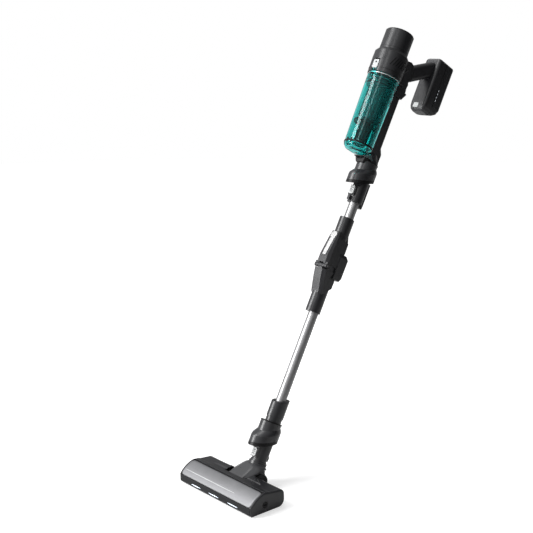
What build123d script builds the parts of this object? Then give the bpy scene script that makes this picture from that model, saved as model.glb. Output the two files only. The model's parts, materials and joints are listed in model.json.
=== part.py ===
from build123d import *
import math
import os

# Cordless stick vacuum, in millimetres. +X is the user's right, -Y is forward, +Z is up.
# The origin is the centre of the floor head's sole, on the floor.
# Everything above the head's pivot is drawn upright, with z as the distance L along the wand
# and y behind the wand's axis, and is then leaned back about the pivot.

# ---- driving dimensions ----
LEAN = 28.0                      # the wand leans back by this much, degrees
PIVOT_Y, PIVOT_Z = 71.4, 23.4    # pitch axis of the head
GAP = 0.35                       # clearance between pieces that move apart
FIT = 0.05                       # running fit of a pin in its hole

# floor head
HEAD_HALF = 133.0                # half width
CAP_IN = 129.0                   # inner face of the end caps
TUNNEL_HALF = 110.0              # half length of the brush tunnel
BRUSH_Y, BRUSH_Z = -20.0, 19.5   # brush axis
BRISTLE_R, CORE_R = 18.4, 11.5
TUNNEL_R = 19.2
LOCK_Y, LOCK_Z, LOCK_R = -5.0, 20.0, 8.0  # round brush lock on the right end
PULLEY_Y, PULLEY_Z = 24.0, 22.0    # brush motor's axis
BRUSH_PULLEY_R, MOTOR_PULLEY_R = 8.0, 4.0
DRIVE_IN, DRIVE_OUT = 115.4, 121.4  # ends of the belt drive
REAR_Y = 54.6                    # back of the head
SLOT_HALF, SLOT_DEEP = 37.8, 23.6  # half widths of the slot behind, and of its deep middle
SLOT_FLOOR, SOLE = 12.0, 3.5     # heights of the slot's floor at the sides and in the middle
SWING_R = 60.6                   # reach of the yoke's hood about the pitch axis
YOKE_HALF = 23.2                 # half width of the yoke's drum
EAR_IN, EAR_OUT = 23.8, 28.0     # the two ears that carry the pitch pins
WHEEL_Y, WHEEL_Z, WHEEL_R = 68.0, 20.4, 19.2
WHEEL_IN, WHEEL_OUT = 28.8, 37.4
PIN_R = 4.0

LAMP_X, LAMP_Z, LAMP_LONG = (-68.0, 0.0, 68.0), 9.0, 36.0

# neck, swivel and sockets
SWIVEL_L = 40.0
NECK_R = 17.5
PLUG_TOP = 118.0                 # top of the neck's plug inside the lower socket
TUBE_R, TUBE_WALL = 12.5, 1.4
PAD_Y = 23.6                     # front of the raised pad round each release button

# fold joint
FOLD_Y, FOLD_L = -31.0, 537.0    # fold pin
FOLD_PIN_R = 2.5
BARREL_R = 6.0
BUTTON_PRESS = 4.2               # room for the fold joint's release bar to be pressed

# main unit
MOTOR_Y = -57.0                  # axis of the motor and the dust bin
RING_R, RING_LOW, RING_TOP = 44.0, 1028.0, 1086.0
CAP_R, CAP_TOP = 36.5, 1150.0
BIN_R_TOP, BIN_R_LOW, BIN_LOW = 41.0, 36.5, 842.0
SPINE_FRONT = -15.4              # front of the air duct, just behind the bin
UPPER_L = 682.0                  # the upper socket is the lower one, raised by this much

# handle and battery
HANDLE_SLOPE = 34.3
HANDLE_HALF, HANDLE_RISE = 15.0, 47.0  # half width, and height measured straight up
DOCK_FRONT, DOCK_BACK = 89.0, 119.6
PACK_BACK, PACK_HALF = 153.0, 26.0
DOCK_LOW, DOCK_TOP = 1012.0, 1158.0
CELL_LOW, CELL_LONG = 1044.0, 48.0
CHARGE_R, CHARGE_L = 2.8, 1084.0  # charging socket in the battery's back

WAND = Location((0, PIVOT_Y, PIVOT_Z), (-LEAN, 0, 0))
os.makedirs("parts", exist_ok=True)


# ---- helpers ----
def box(x0, x1, y0, y1, z0, z1):
    """A block given by its limits."""
    return Pos((x0 + x1) / 2, (y0 + y1) / 2, (z0 + z1) / 2) * Box(x1 - x0, y1 - y0, z1 - z0)


def rod(r, z0, z1, x=0, y=0):
    """A cylinder along z."""
    return Pos(x, y, (z0 + z1) / 2) * Cylinder(r, z1 - z0)


def rod_x(r, x0, x1, y, z):
    """A cylinder along x."""
    return Pos((x0 + x1) / 2, y, z) * (Rot(0, 90, 0) * Cylinder(r, x1 - x0))


def rod_y(r, y0, y1, x, z):
    """A cylinder along y."""
    return Pos(x, (y0 + y1) / 2, z) * (Rot(90, 0, 0) * Cylinder(r, y1 - y0))


def oval(a, b, z0, z1, y=0):
    """An elliptic column, a along x and b along y."""
    return Pos(0, y, z0) * extrude(Ellipse(a, b), z1 - z0)


def oval_loft(*rows):
    """A ruled loft through ellipses given as (z, a, b, y)."""
    return loft([Pos(0, y, z) * Ellipse(a, b) for z, a, b, y in rows], ruled=True)


def slab(half, y0, y1, corner):
    """A rounded rectangle, x from -half to half, y from y0 to y1."""
    return Pos(0, (y0 + y1) / 2) * RectangleRounded(2 * half, y1 - y0, corner)


def slab_loft(*rows):
    """A ruled loft through rounded rectangles given as (z, half, y0, y1, corner)."""
    return loft([Pos(0, 0, z) * slab(h, y0, y1, c) for z, h, y0, y1, c in rows], ruled=True)


def side_face(*edges):
    """A face in the y-z plane from edges drawn as (y, z)."""
    return Plane.YZ * make_face(Curve() + list(edges))


def side_poly(points, x0, x1):
    """A polygon of (y, z) points extruded along x."""
    face = Plane.YZ.offset(x0) * make_face(Polyline(*points, close=True))
    return extrude(face, x1 - x0)


def turned(points, y):
    """A solid of revolution about the vertical axis at y, from (radius, z) points."""
    face = Plane.XZ * make_face(Polyline(*points, close=True))
    return Pos(0, y, 0) * revolve(face, Axis.Z)


def mirror_x(shape):
    return mirror(shape, about=Plane.YZ)


def both(shape):
    """A shape and its mirror image, as one group."""
    return Compound([*shape.solids(), *mirror_x(shape).solids()])


def save(name, shape, place=None):
    """Writes one node, each piece of it as its own solid."""
    solids = shape.solids()
    body = solids[0] if len(solids) == 1 else Compound(solids)
    if place is not None:
        body = body.moved(place)
    export_step(body, f"parts/{name}.step")


# ---- floor head ----
COVER_FRONT, COVER_TOP = (-48.0, 23.0), (-8.5, 48.3)
REAR_FRONT, CREST, REAR_TOP = (-2.6, 48.2), (13.0, 45.4), (41.0, 42.6)


def cover_line(inset):
    """The curve of the roller cover, moved inwards by inset."""
    low = (COVER_FRONT[0] + inset, COVER_FRONT[1] - 0.3 * inset)
    high = (COVER_TOP[0], COVER_TOP[1] - inset)
    first = ThreePointArc(low, (-33.0 + 0.62 * inset, 37.6 - 0.78 * inset), high)
    back = (CREST[0], CREST[1] - inset)
    second = ThreePointArc(high, (2.5, 47.8 - inset), back)
    return first, second, low, back


def head_outline(inset):
    """The head's whole side outline, drawn inset from the outer skin."""
    first, second, low, back = cover_line(inset)
    rear_top = (REAR_TOP[0], REAR_TOP[1] - inset)
    bulge = (REAR_Y - inset, 29.0)
    rear_low = (REAR_Y - inset, 15.0)
    sole_back = (36.0, 0.6 + inset)
    sole_front = (-43.0, 0.6 + inset)
    nose = (-48.0 + inset, 5.0 + inset)
    return side_face(
        first, second,
        Line(back, rear_top),
        RadiusArc(rear_top, bulge, 13.0 - 0.4 * inset),
        Line(bulge, rear_low),
        RadiusArc(rear_low, sole_back, 17.0 - 0.4 * inset),
        Line(sole_back, sole_front),
        Line(sole_front, nose),
        Line(nose, low))


def yoke_swing(half):
    """The space that the yoke sweeps behind the head."""
    return rod_x(SWING_R, -half, half, PIVOT_Y, PIVOT_Z)


def wheel_wells():
    """Room for the two rear wheels in the back of the head."""
    well = rod_x(WHEEL_R + 1.0, EAR_OUT, SLOT_HALF, WHEEL_Y, WHEEL_Z)
    return well + mirror_x(well)


def ears():
    """The two arms that reach back to the pitch pins."""
    ear = side_poly([(30, 5), (30, 13), (46, 19), (58, 27), (PIVOT_Y, 34.4), (PIVOT_Y, 12.4), (52, 5)],
                    EAR_IN, EAR_OUT)
    ear += rod_x(11.0, EAR_IN, EAR_OUT, PIVOT_Y, PIVOT_Z)
    ear -= rod_x(PIN_R, EAR_IN - 1, EAR_OUT + 1, PIVOT_Y, PIVOT_Z)
    return ear + mirror_x(ear)


def head_base():
    """Chassis: sole, brush tunnel, motor bay and the ears that carry the wand."""
    body = extrude(head_outline(2.6), CAP_IN - 0.2, both=True)
    body += box(-CAP_IN + 6, CAP_IN - 6, -4, 40, 0, 6)
    tunnel = rod_x(TUNNEL_R, -TUNNEL_HALF, TUNNEL_HALF, BRUSH_Y, BRUSH_Z)
    mouth = box(-TUNNEL_HALF, TUNNEL_HALF, BRUSH_Y - TUNNEL_R, BRUSH_Y + TUNNEL_R - 3, -1, BRUSH_Z)
    roof = box(-TUNNEL_HALF, TUNNEL_HALF, BRUSH_Y - 14, BRUSH_Y + 12, BRUSH_Z, 60)
    body -= tunnel + mouth + roof
    bay = box(40, CAP_IN - 5, 6, 44, 5, 50)
    left_bay = box(-CAP_IN + 5, -40, 6, 44, 5, 50)
    duct = box(-22, 22, -8, 30, 6, 34)
    body -= bay + left_bay + duct
    body -= yoke_swing(SLOT_HALF) & box(-40, 40, 0, 60, SLOT_FLOOR, 60)
    body -= yoke_swing(SLOT_DEEP) & box(-40, 40, 0, 60, SOLE, 60)
    drive = rod_x(12.0, 114.4, CAP_IN + 1, BRUSH_Y, BRUSH_Z) + rod_x(9.0, 114.4, CAP_IN + 1, PULLEY_Y, PULLEY_Z)
    drive += box(114.4, CAP_IN + 1, BRUSH_Y, PULLEY_Y, BRUSH_Z - 9, BRUSH_Z + 11)
    drive += rod_x(3.0, 88, 116, PULLEY_Y, PULLEY_Z)
    for side in (-1, 1):
        ends = (TUNNEL_HALF - 1, TUNNEL_HALF + 4.4)
        low, high = sorted(side * e for e in ends)
        drive += rod_x(7.0, low, high, BRUSH_Y, BRUSH_Z)
    for screw in head_screws().solids():
        drive += screw
    return body + ears() - drive - wheel_wells() - lamp_board() - box(-8, 8, -46, -44, 9, 12)


def rear_cover():
    """Dark top housing behind the roller cover, with a raised ramp towards the yoke."""
    skin = 2.4
    outer = extrude(side_face(
        ThreePointArc(REAR_FRONT, (5.0, 47.35), CREST),
        Line(CREST, REAR_TOP),
        RadiusArc(REAR_TOP, (REAR_Y, 29.0), 13.0),
        Line((REAR_Y, 29.0), (REAR_Y, 22.0)),
        Line((REAR_Y, 22.0), (REAR_Y - skin, 22.0)),
        Line((REAR_Y - skin, 22.0), (REAR_Y - skin, 29.0)),
        RadiusArc((REAR_Y - skin, 29.0), (REAR_TOP[0], REAR_TOP[1] - skin), -12.2),
        Line((REAR_TOP[0], REAR_TOP[1] - skin), (CREST[0], CREST[1] - skin)),
        Line((CREST[0], CREST[1] - skin), (REAR_FRONT[0], 45.7)),
        Line((REAR_FRONT[0], 45.7), REAR_FRONT)), CAP_IN - 0.4, both=True)
    ramp = extrude(Pos(0, 0, 41.5) * make_face(Polyline((-104, 18), (104, 18), (44, 48), (-44, 48),
                                                     close=True)), 4.8, taper=52)
    chassis = extrude(head_outline(2.6), CAP_IN - 0.2, both=True)
    return outer + ramp - chassis - yoke_swing(SLOT_HALF) - wheel_wells() - ears()


def roller_cover():
    """Thin curved panel over the brush."""
    first, second, low, back = cover_line(0)
    inner, inner2, low2, back2 = cover_line(2.4)
    face = side_face(first, Line(COVER_TOP, (COVER_TOP[0], COVER_TOP[1] - 2.4)), inner, Line(low2, low))
    return extrude(face, CAP_IN - 0.4, both=True)


def head_window():
    """Dark see-through strip across the nose, with three shallow lamp wells behind it."""
    bar = side_poly([(-48.6, 6.0), (-48.6, 22.6), (-45.6, 22.2), (-45.6, 3.6), (-46.8, 3.2)],
                    -CAP_IN + 0.4, CAP_IN - 0.4)
    return bar - headlights()


def headlights():
    """Three white lamps on the nose, each a flat lens in the window."""
    parts = []
    for x in LAMP_X:
        flat = Pos(x, -47.4, LAMP_Z) * (Rot(90, 0, 0) * extrude(SlotOverall(LAMP_LONG, 6.0), 1.3))
        parts.extend(flat.solids())
    return Compound(parts)


def lamp_board():
    """Strip of circuit board behind the window."""
    return box(-70, 70, -45.5, -44.3, 7, 14)


def end_cap(lock):
    """One end of the head; the right one has the round recess of the brush lock."""
    shoulder = HEAD_HALF - 3.0
    cap = extrude(Pos(CAP_IN, 0, 0) * head_outline(0), shoulder - CAP_IN)
    cap += loft([Pos(shoulder, 0, 0) * head_outline(0), Pos(HEAD_HALF - 1.0, 0, 0) * head_outline(1.1),
                 Pos(HEAD_HALF, 0, 0) * head_outline(3.0)], ruled=True)
    if lock:
        cap -= rod_x(LOCK_R + GAP, HEAD_HALF - 3.2, HEAD_HALF + 1, LOCK_Y, LOCK_Z)
        return cap
    return mirror_x(cap)


def end_lock():
    """Coin-slot knob that releases the brush."""
    knob = rod_x(LOCK_R, HEAD_HALF - 3.0, HEAD_HALF - 0.4, LOCK_Y, LOCK_Z)
    knob -= box(HEAD_HALF - 2.0, HEAD_HALF, LOCK_Y - 5.6, LOCK_Y + 5.6, LOCK_Z - 1.1, LOCK_Z + 1.1)
    return knob


def brush_core():
    """Hollow brush tube with end journals."""
    core = rod_x(CORE_R, -TUNNEL_HALF + 1.5, TUNNEL_HALF - 1.5, BRUSH_Y, BRUSH_Z)
    shaft = rod_x(3.0, -TUNNEL_HALF - 4.0, DRIVE_OUT, BRUSH_Y, BRUSH_Z)
    return core + shaft


def bristles():
    """Four twisted rows of bristle on the core."""
    rows = []
    half, steps, twist = TUNNEL_HALF - 6, 6, 150.0
    for k in range(4):
        sections = []
        for i in range(steps + 1):
            x = -half + 2 * half * i / steps
            turn = 90.0 * k + twist * i / steps
            strip = Pos(0, (CORE_R + BRISTLE_R) / 2 + 0.05) * Rectangle(3.2, BRISTLE_R - CORE_R + 0.4)
            sections.append(Plane(origin=(x, BRUSH_Y, BRUSH_Z), x_dir=(0, 1, 0), z_dir=(1, 0, 0))
                            * (Rot(0, 0, turn) * strip))
        rows.extend(loft(sections).solids())
    core = rod_x(CORE_R, -TUNNEL_HALF, TUNNEL_HALF, BRUSH_Y, BRUSH_Z)
    return Compound([s for row in rows for s in (row - core).solids()])


def brush_bearings():
    """A bearing bush in the chassis at each end of the brush."""
    bush = rod_x(7.0, TUNNEL_HALF + 0.2, TUNNEL_HALF + 4.4, BRUSH_Y, BRUSH_Z)
    bush -= rod_x(3.0 + FIT, TUNNEL_HALF, TUNNEL_HALF + 6, BRUSH_Y, BRUSH_Z)
    return both(bush)


def brush_pulley():
    """Belt wheel on the right end of the brush."""
    return grooved(BRUSH_PULLEY_R, BRUSH_Y, BRUSH_Z) - rod_x(3.0, 110, 125, BRUSH_Y, BRUSH_Z)


def motor_pulley():
    """Small belt wheel and shaft of the brush motor."""
    shaft = rod_x(1.6, 92.5, DRIVE_IN, PULLEY_Y, PULLEY_Z)
    return grooved(MOTOR_PULLEY_R, PULLEY_Y, PULLEY_Z) + shaft


def grooved(r, y, z):
    """A pulley with two low flanges."""
    wheel = rod_x(r, DRIVE_IN, DRIVE_OUT, y, z)
    for x in (DRIVE_IN, DRIVE_OUT - 0.5):
        wheel += rod_x(r + 1.0, x, x + 0.5, y, z)
    return wheel


def belt_band(extra):
    """The belt's outline as a closed column: two circles and their tangent strip."""
    reach = math.hypot(PULLEY_Y - BRUSH_Y, PULLEY_Z - BRUSH_Z)
    tilt = math.degrees(math.atan2(PULLEY_Z - BRUSH_Z, PULLEY_Y - BRUSH_Y))
    big, small = BRUSH_PULLEY_R + extra, MOTOR_PULLEY_R + extra
    lean = math.asin((big - small) / reach)
    c, s = math.cos(lean), math.sin(lean)
    quad = [(big * s, big * c), (reach + small * s, small * c),
            (reach + small * s, -small * c), (big * s, -big * c)]
    face = make_face(Polyline(*quad, close=True)) + Circle(big) + Pos(reach, 0) * Circle(small)
    at = Plane(origin=(DRIVE_IN + 0.9, BRUSH_Y, BRUSH_Z), x_dir=(0, 1, 0), z_dir=(1, 0, 0))
    return extrude(at * (Rot(0, 0, tilt) * face), DRIVE_OUT - DRIVE_IN - 1.8)


def belt():
    """Toothless drive belt from the motor to the brush."""
    return belt_band(1.6) - belt_band(0.35)


def brush_motor():
    """Small electric motor in the chassis's right bay."""
    can = rod_x(13.0, 46, 90, PULLEY_Y, PULLEY_Z) + rod_x(5.0, 90, 92, PULLEY_Y, PULLEY_Z)
    return can - rod_x(1.6 + FIT, 80, 93, PULLEY_Y, PULLEY_Z)


def head_screws():
    """Screws that hold the sole's chassis together, heads flush in the sole."""
    screws = []
    for x in (-100, -46, 46, 100):
        screws.append(rod(3.0, 1.2, 3.0, x, 31) + rod(1.4, 3.0, 5.0, x, 31))
    return Compound([s for one in screws for s in one.solids()])


# ---- yoke and wheels ----
TOWER_R = 22.4                       # outside of the swivel bearing's tower


def duct_mouth(half, low, high):
    """The flattened air mouth that points forward from the drum."""
    return side_poly([(PIVOT_Y - 53, low), (PIVOT_Y - 53, high), (PIVOT_Y, high + 7), (PIVOT_Y, low - 14)],
                     -half, half)


def yoke_body():
    """Air drum that pitches in the head's slot and holds the swivel neck."""
    drum = rod_x(20.5, -YOKE_HALF, YOKE_HALF, PIVOT_Y, PIVOT_Z)
    tower = rod(TOWER_R, 0, SWIVEL_L - 2.5) + oval_loft((0, 22.8, 29, 0), (22, 22.4, 26, 0))
    tower -= rod_x(70, -40, 40, 0, -60)
    body = drum + tower.moved(WAND) + duct_mouth(21, 26, 36)
    body -= rod(14.0, 4, SWIVEL_L + 2).moved(WAND)
    body -= duct_mouth(18, 28, 34) & box(-40, 40, 0, PIVOT_Y - 6, 0, 60)
    body -= rod(NECK_R + 0.05 + GAP, SWIVEL_L - 14, SWIVEL_L + 2).moved(WAND)
    body -= rod_x(PIN_R + FIT, -YOKE_HALF - 1, YOKE_HALF + 1, PIVOT_Y, PIVOT_Z)
    return body - rod_x(14.5, -18, 18, PIVOT_Y, PIVOT_Z)


def hood_section(y, foot, crest, low, high):
    """A trapezoid across the hood at y."""
    at = Plane(origin=(0, y, 0), x_dir=(1, 0, 0), z_dir=(0, -1, 0))
    return at * make_face(Polyline((-foot, low), (-crest, high), (crest, high), (foot, low), close=True))


def yoke_hood():
    """Saddle that covers the yoke's mouth and flares over the ears and wheels."""
    saddle = loft([
        hood_section(14.6, 25.4, 24.6, 39.0, 42.6),
        hood_section(42.0, 35.4, 21.0, 43.2, 52.5),
        hood_section(66.0, 36.6, 18.0, 43.8, 61.0),
        hood_section(80.0, 35.6, 17.0, 44.5, 59.5),
        hood_section(91.0, 29.0, 14.0, 48.0, 53.5)], ruled=True)
    saddle -= rod_x(25.4, -60, 60, PIVOT_Y, PIVOT_Z)
    saddle -= rod(TOWER_R + 0.1, -30, SWIVEL_L + 60).moved(WAND)
    return saddle - oval_loft((0, 22.9, 29.1, 0), (22, 22.5, 26.1, 0)).moved(WAND)


def pivot_pins():
    """The two pins that join head and yoke; the wheels turn on their cranked outer ends."""
    pin = rod_x(PIN_R, YOKE_HALF - 4.5, EAR_OUT, PIVOT_Y, PIVOT_Z)
    pin += rod_x(PIN_R, EAR_OUT, WHEEL_OUT - 0.4, WHEEL_Y, WHEEL_Z)
    pin += rod_x(6.5, WHEEL_OUT - 2.0 + GAP, WHEEL_OUT - 0.4, WHEEL_Y, WHEEL_Z)
    return both(pin)


def rear_wheel():
    """Right rear wheel: a hub with a soft tread, turning on the pitch pin."""
    wheel = rod_x(WHEEL_R, WHEEL_IN, WHEEL_OUT, WHEEL_Y, WHEEL_Z)
    wheel = fillet(wheel.edges().filter_by(GeomType.CIRCLE), 1.8)
    wheel -= rod_x(13.5, WHEEL_OUT - 2.0, WHEEL_OUT + 1, WHEEL_Y, WHEEL_Z)
    return wheel - rod_x(PIN_R + FIT, WHEEL_IN - 1, WHEEL_OUT + 1, WHEEL_Y, WHEEL_Z)


# ---- neck and its plug ----
def neck_shell():
    """Swivel neck: journal in the yoke below, plug for the lower socket above."""
    shell = rod(NECK_R, SWIVEL_L - 13, PLUG_TOP) + oval_loft((SWIVEL_L, 18.2, 18.6, 0), (60, 18.6, 20, 1.0),
                                                            (92, 18.6, 20.5, 1.0))
    shell += rod(20.0, SWIVEL_L - 2.2, SWIVEL_L + 1.5)
    ridge = side_poly([(12, 43), (22.5, 43), (24.5, 47), (24.5, 54.5), (21.5, 57), (21.5, 92), (12, 92)], -7, 7)
    shell += ridge
    shell += box(-9.5, 9.5, -PAD_Y, -8, 46, 70)
    shell -= rod(14.0, SWIVEL_L - 20, PLUG_TOP + 1)
    shell -= box(-7.6 - GAP, 7.6 + GAP, -30, -19.0, 47.0, 68.6)
    return shell


def plug_seal():
    """Lip seal round the top of the neck's plug."""
    ring = rod(NECK_R + 0.9, 110, 113) - rod(NECK_R, 109, 114)
    return ring


def press_button(low, high, y_in, y_out, half):
    """A ribbed push button on the front of the wand."""
    pad = box(-half, half, y_out, y_in, low, high)
    ends = pad.edges().filter_by(Axis.Y)
    pad = fillet(ends, min(half, (high - low) / 2) * 0.6)
    ribs = int((high - low - 6) / 3.6)
    for i in range(ribs):
        z = (low + high) / 2 + (i - (ribs - 1) / 2) * 3.6
        pad -= box(-half * 0.62, half * 0.62, y_out - 1, y_out + 0.7, z - 0.6, z + 0.6)
    return pad


def neck_button():
    return press_button(47.6, 68.0, -20.4, -PAD_Y - 2.4, 7.6)


# ---- sockets: one shape, used at the foot of the wand and under the main unit ----
SLANT = 20.5                     # the collar's foot and shoulder rise towards the back
RING_FOOT, COLLAR_FOOT, SHOULDER = 69.0, 77.5, 94.0  # their heights at the collar's front


def leaning_oval(a, b, y, z):
    """An ellipse tilted with the collar's slant; a and b are its half widths seen from above."""
    slant = math.radians(SLANT)
    at = Plane(origin=(0, y, z), x_dir=(1, 0, 0), z_dir=(0, -math.sin(slant), math.cos(slant)))
    return at * Ellipse(a, b / math.cos(slant))


def slant_rise(y):
    """How far the slant has risen at y, measured from the collar's front."""
    return (y + 46.0) * math.tan(math.radians(SLANT))


def slanted_cut(level):
    """Everything below a slanted plane that is at the given height at the collar's front."""
    return Pos(0, -46, level) * (Rot(SLANT, 0, 0) * box(-60, 60, -60, 140, -120, 0))


def socket(lift):
    """Grey collar with a stepped shoulder, slanted underneath, hollow for the plug."""
    body = oval(28.5, 38, 50, 140, -8) - slanted_cut(COLLAR_FOOT)
    body &= slanted_cut(SHOULDER)
    body += loft([leaning_oval(28.5, 38.0, -8.0, SHOULDER + slant_rise(-8.0)),
                  leaning_oval(27.6, 36.6, -7.6, SHOULDER + 3.6 + slant_rise(-7.6)),
                  leaning_oval(24.7, 28.6, -4.6, SHOULDER + 11.4 + slant_rise(-4.6))], ruled=True)
    body += oval(24.5, 28, 108, 136.6, -4.5) + oval(25.1, 28.6, 136.0, 138, -4.5)
    body -= rod(NECK_R + 1.0, 60, 120) + rod(16.6, 110, 150)
    body -= box(-9.9 - GAP, 9.9 + GAP, -PAD_Y - 0.6, 0, 60, 100)
    body -= oval_loft((60, 19.2, 21.2, 1.0), (94, 19.2, 21.2, 1.0)) + box(-8, 8, 0, 26.0, 60, 96)
    return body.moved(Location((0, 0, lift)))


def socket_ring(lift):
    """Black ring under the collar, with the same slant."""
    ring = oval_loft((60, 28.5, 38, -8), (114, 28.5, 38, -8))
    ring &= slanted_cut(COLLAR_FOOT)
    ring -= slanted_cut(RING_FOOT)
    ring -= box(-9.9 - GAP, 9.9 + GAP, -PAD_Y - 0.6, 0, 60, 100)
    ring -= oval_loft((60, 19.4, 21.6, 1.0), (114, 19.4, 21.6, 1.0)) + box(-8, 8, 0, 26.4, 60, 114)
    return ring.moved(Location((0, 0, lift)))


# ---- lower wand ----
def lower_sleeve():
    """Plastic sleeve that joins the lower tube to the lower socket, with a horned top edge."""
    body = oval(18.0, 21.5, 138, 150, 0) + oval(19.4, 23.0, 150, 203, 0)
    body -= Pos(0, -23, 186) * (Rot(18, 0, 0) * box(-40, 40, -20, 100, 0, 60))
    body -= rod(TUBE_R, 150, 220) + rod(TUBE_R - TUBE_WALL, 130, 160)
    return body


def tube(low, high):
    """Aluminium tube with two shallow grooves along its sides."""
    pipe = rod(TUBE_R, low, high) - rod(TUBE_R - TUBE_WALL, low - 1, high + 1)
    for x in (-TUBE_R, TUBE_R):
        pipe -= rod(0.9, low - 1, high + 1, x * 1.02, 0)
    return pipe


def nosed_loft(*rows):
    """A ruled loft through blocks with a narrower nose, given as (z, half, nose, y_front, y_back)."""
    faces = []
    for z, half, nose, front, back in rows:
        shoulder = front + 1.15 * (half - nose)
        outline = [(-nose, front), (nose, front), (half, shoulder), (half, back - 4), (half - 4, back),
                   (4 - half, back), (-half, back - 4), (-half, shoulder)]
        faces.append(Pos(0, 0, z) * make_face(Polyline(*outline, close=True)))
    return loft(faces, ruled=True)


def fold_lower():
    """Lower half of the fold joint, with the middle knuckle and the tongue."""
    sleeve = oval(17.5, 20, 422, 497, -4)
    front = nosed_loft((469, 17, 11.5, -22.6, 14), (477, 18.5, 12.5, -24.5, 14.5),
                       (504, 19.5, 12.5, -33.0, 14.5), (528.8, 20, 12.5, -39.0, 14.5))
    front -= side_poly([(-10, 460), (-10, 470), (16, 497), (30, 497), (30, 460)], -30, 30)
    body = sleeve + front
    cheek = rod_x(90, -30, 30, FOLD_Y, FOLD_L) - rod_x(30.2, -30, 30, FOLD_Y, FOLD_L)
    cheek &= box(-30, 30, -10, 60, 512.5, 560)
    body -= cheek - box(-16.6, 16.6, -10, 60, 500, 560)
    body -= box(-30, 30, -10, 60, 511, 560) - rod_x(47.6, -40, 40, FOLD_Y, FOLD_L)
    tongue = rod_x(47.0, -16.6, 16.6, FOLD_Y, FOLD_L) & box(-17, 17, FOLD_Y + 8.5, 30, 505, 552)
    tongue -= rod_x(BARREL_R + 1, -30, 30, FOLD_Y, FOLD_L)
    knuckle = rod_x(BARREL_R, -6.5, 6.5, FOLD_Y, FOLD_L) + box(-6.5, 6.5, FOLD_Y - 4.5, FOLD_Y + 5, 520, FOLD_L)
    bridge = box(-16.6, 16.6, FOLD_Y + 8.5, 12, 500, 536)
    body += tongue + bridge + knuckle
    body -= rod(TUBE_R, 421, 462) + rod(TUBE_R - TUBE_WALL, 460, 480) + oval(14.0, 13.0, 478, 560, 0.5)
    return body - rod_x(FOLD_PIN_R + FIT, -30, 30, FOLD_Y, FOLD_L)


def fold_upper():
    """Upper half: tapered housing, two knuckles, and the skirt behind the joint."""
    body = nosed_loft((542.6, 20, 13.0, -37.8, 17.5), (563, 19, 12.8, -38.2, 17.5),
                      (612, 16, 12.0, -30.0, 17.0), (629, 14, 11.0, -26.4, 12.0))
    body += oval(17.5, 20, 612, 670, -4)
    body += slab_loft((586, 13, 0, 21.5, 4), (612, 13, 0, 21.0, 4))
    skirt = slab_loft((515, 20.4, -6, 29.0, 8), (524, 21, -6, 33.5, 8), (572, 21, -6, 34.4, 8),
                      (580.5, 18, -6, 28.0, 8))
    skirt -= box(-30, 30, -40, FOLD_Y + 31.5, 500, 541.5)
    skirt -= rod_x(31.5, -30, 30, FOLD_Y, FOLD_L) & box(-30, 30, -40, 40, 500, 541.5)
    body += skirt
    for x in (-20, 7):
        body += rod_x(BARREL_R, x, x + 13, FOLD_Y, FOLD_L)
        body += box(x, x + 13, FOLD_Y - 4.4, FOLD_Y + 5, FOLD_L, 546)
    hollow = rod_x(48.5, -17.3, 17.3, FOLD_Y, FOLD_L) & box(-17.3, 17.3, FOLD_Y + 6.5, 30, 500, 560)
    hollow += box(-7, 7, -60, FOLD_Y + 7.5, 530, FOLD_L + BARREL_R + 1)
    body -= hollow + oval(14.0, 13.0, 550, 618, 0.5) + rod(TUBE_R, 628, 671)
    body -= rod(TUBE_R - TUBE_WALL, 610, 640)
    body -= fold_button_solid(GAP, 6.5 + BUTTON_PRESS)
    return body - rod_x(FOLD_PIN_R, -30, 30, FOLD_Y, FOLD_L)


def fold_pin():
    """Steel pin through the three knuckles."""
    return rod_x(FOLD_PIN_R, -19.6, 19.6, FOLD_Y, FOLD_L)


def fold_hose():
    """Ribbed hose that carries the air through the joint."""
    rows = []
    ribs = 9
    for i in range(2 * ribs + 1):
        z = 481.0 + 130.0 * i / (2 * ribs)
        grow = 1.4 if i % 2 else 0.0
        rows.append((z, 11.6 + grow, 10.6 + grow, 0.5))
    outer = oval_loft(*rows)
    return outer - oval(10.0, 9.0, 470, 620, 0.5)


def fold_button_solid(extra, depth):
    """Long tapered release bar lying in the sloping front face of the upper half."""
    length, head_r = 66.0, 9.6
    tilt = math.degrees(math.atan2(38.2 - 26.4, 629 - 563))
    bar = slab_loft((-extra, 5.8 + extra, -1.0 - extra, depth, 1.2),
                    (length - head_r, 7.2 + extra, -1.0 - extra, depth, 1.2))
    bar += rod_y(head_r + extra, -1.0 - extra, depth, 0, length - head_r)
    return Pos(0, -38.2, 563) * (Rot(-tilt, 0, 0) * bar)


def fold_button():
    return fold_button_solid(0, 6.5)


# ---- upper wand ----
def upper_plug():
    """Connector on top of the upper tube; its plug slides into the main unit's socket."""
    low, high = UPPER_L + 40, UPPER_L + PLUG_TOP
    body = oval(18.4, 19.5, low - 9, low + 52, 0) + rod(NECK_R, low, high)
    body += slab_loft((706, 9, 6, 24.0, 3), (718, 9, 6, 25.0, 3), (772, 9, 6, 25.0, 3))
    body += box(-9.5, 9.5, -PAD_Y, -8, UPPER_L + 46, UPPER_L + 71)
    body += box(-3.5, 3.5, -23.0, -12, 714, 721) + box(-3.5, 3.5, -28.0, -22.5, 714, 726)
    body -= rod(TUBE_R, 700, 742) + rod(TUBE_R - TUBE_WALL, 700, high + 1)
    body -= box(-7.6 - GAP, 7.6 + GAP, -30, -19.0, UPPER_L + 47.4, UPPER_L + 70.2)
    return body


def wand_button():
    return press_button(UPPER_L + 48.0, UPPER_L + 69.6, -20.4, -PAD_Y - 2.4, 7.6)


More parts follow.
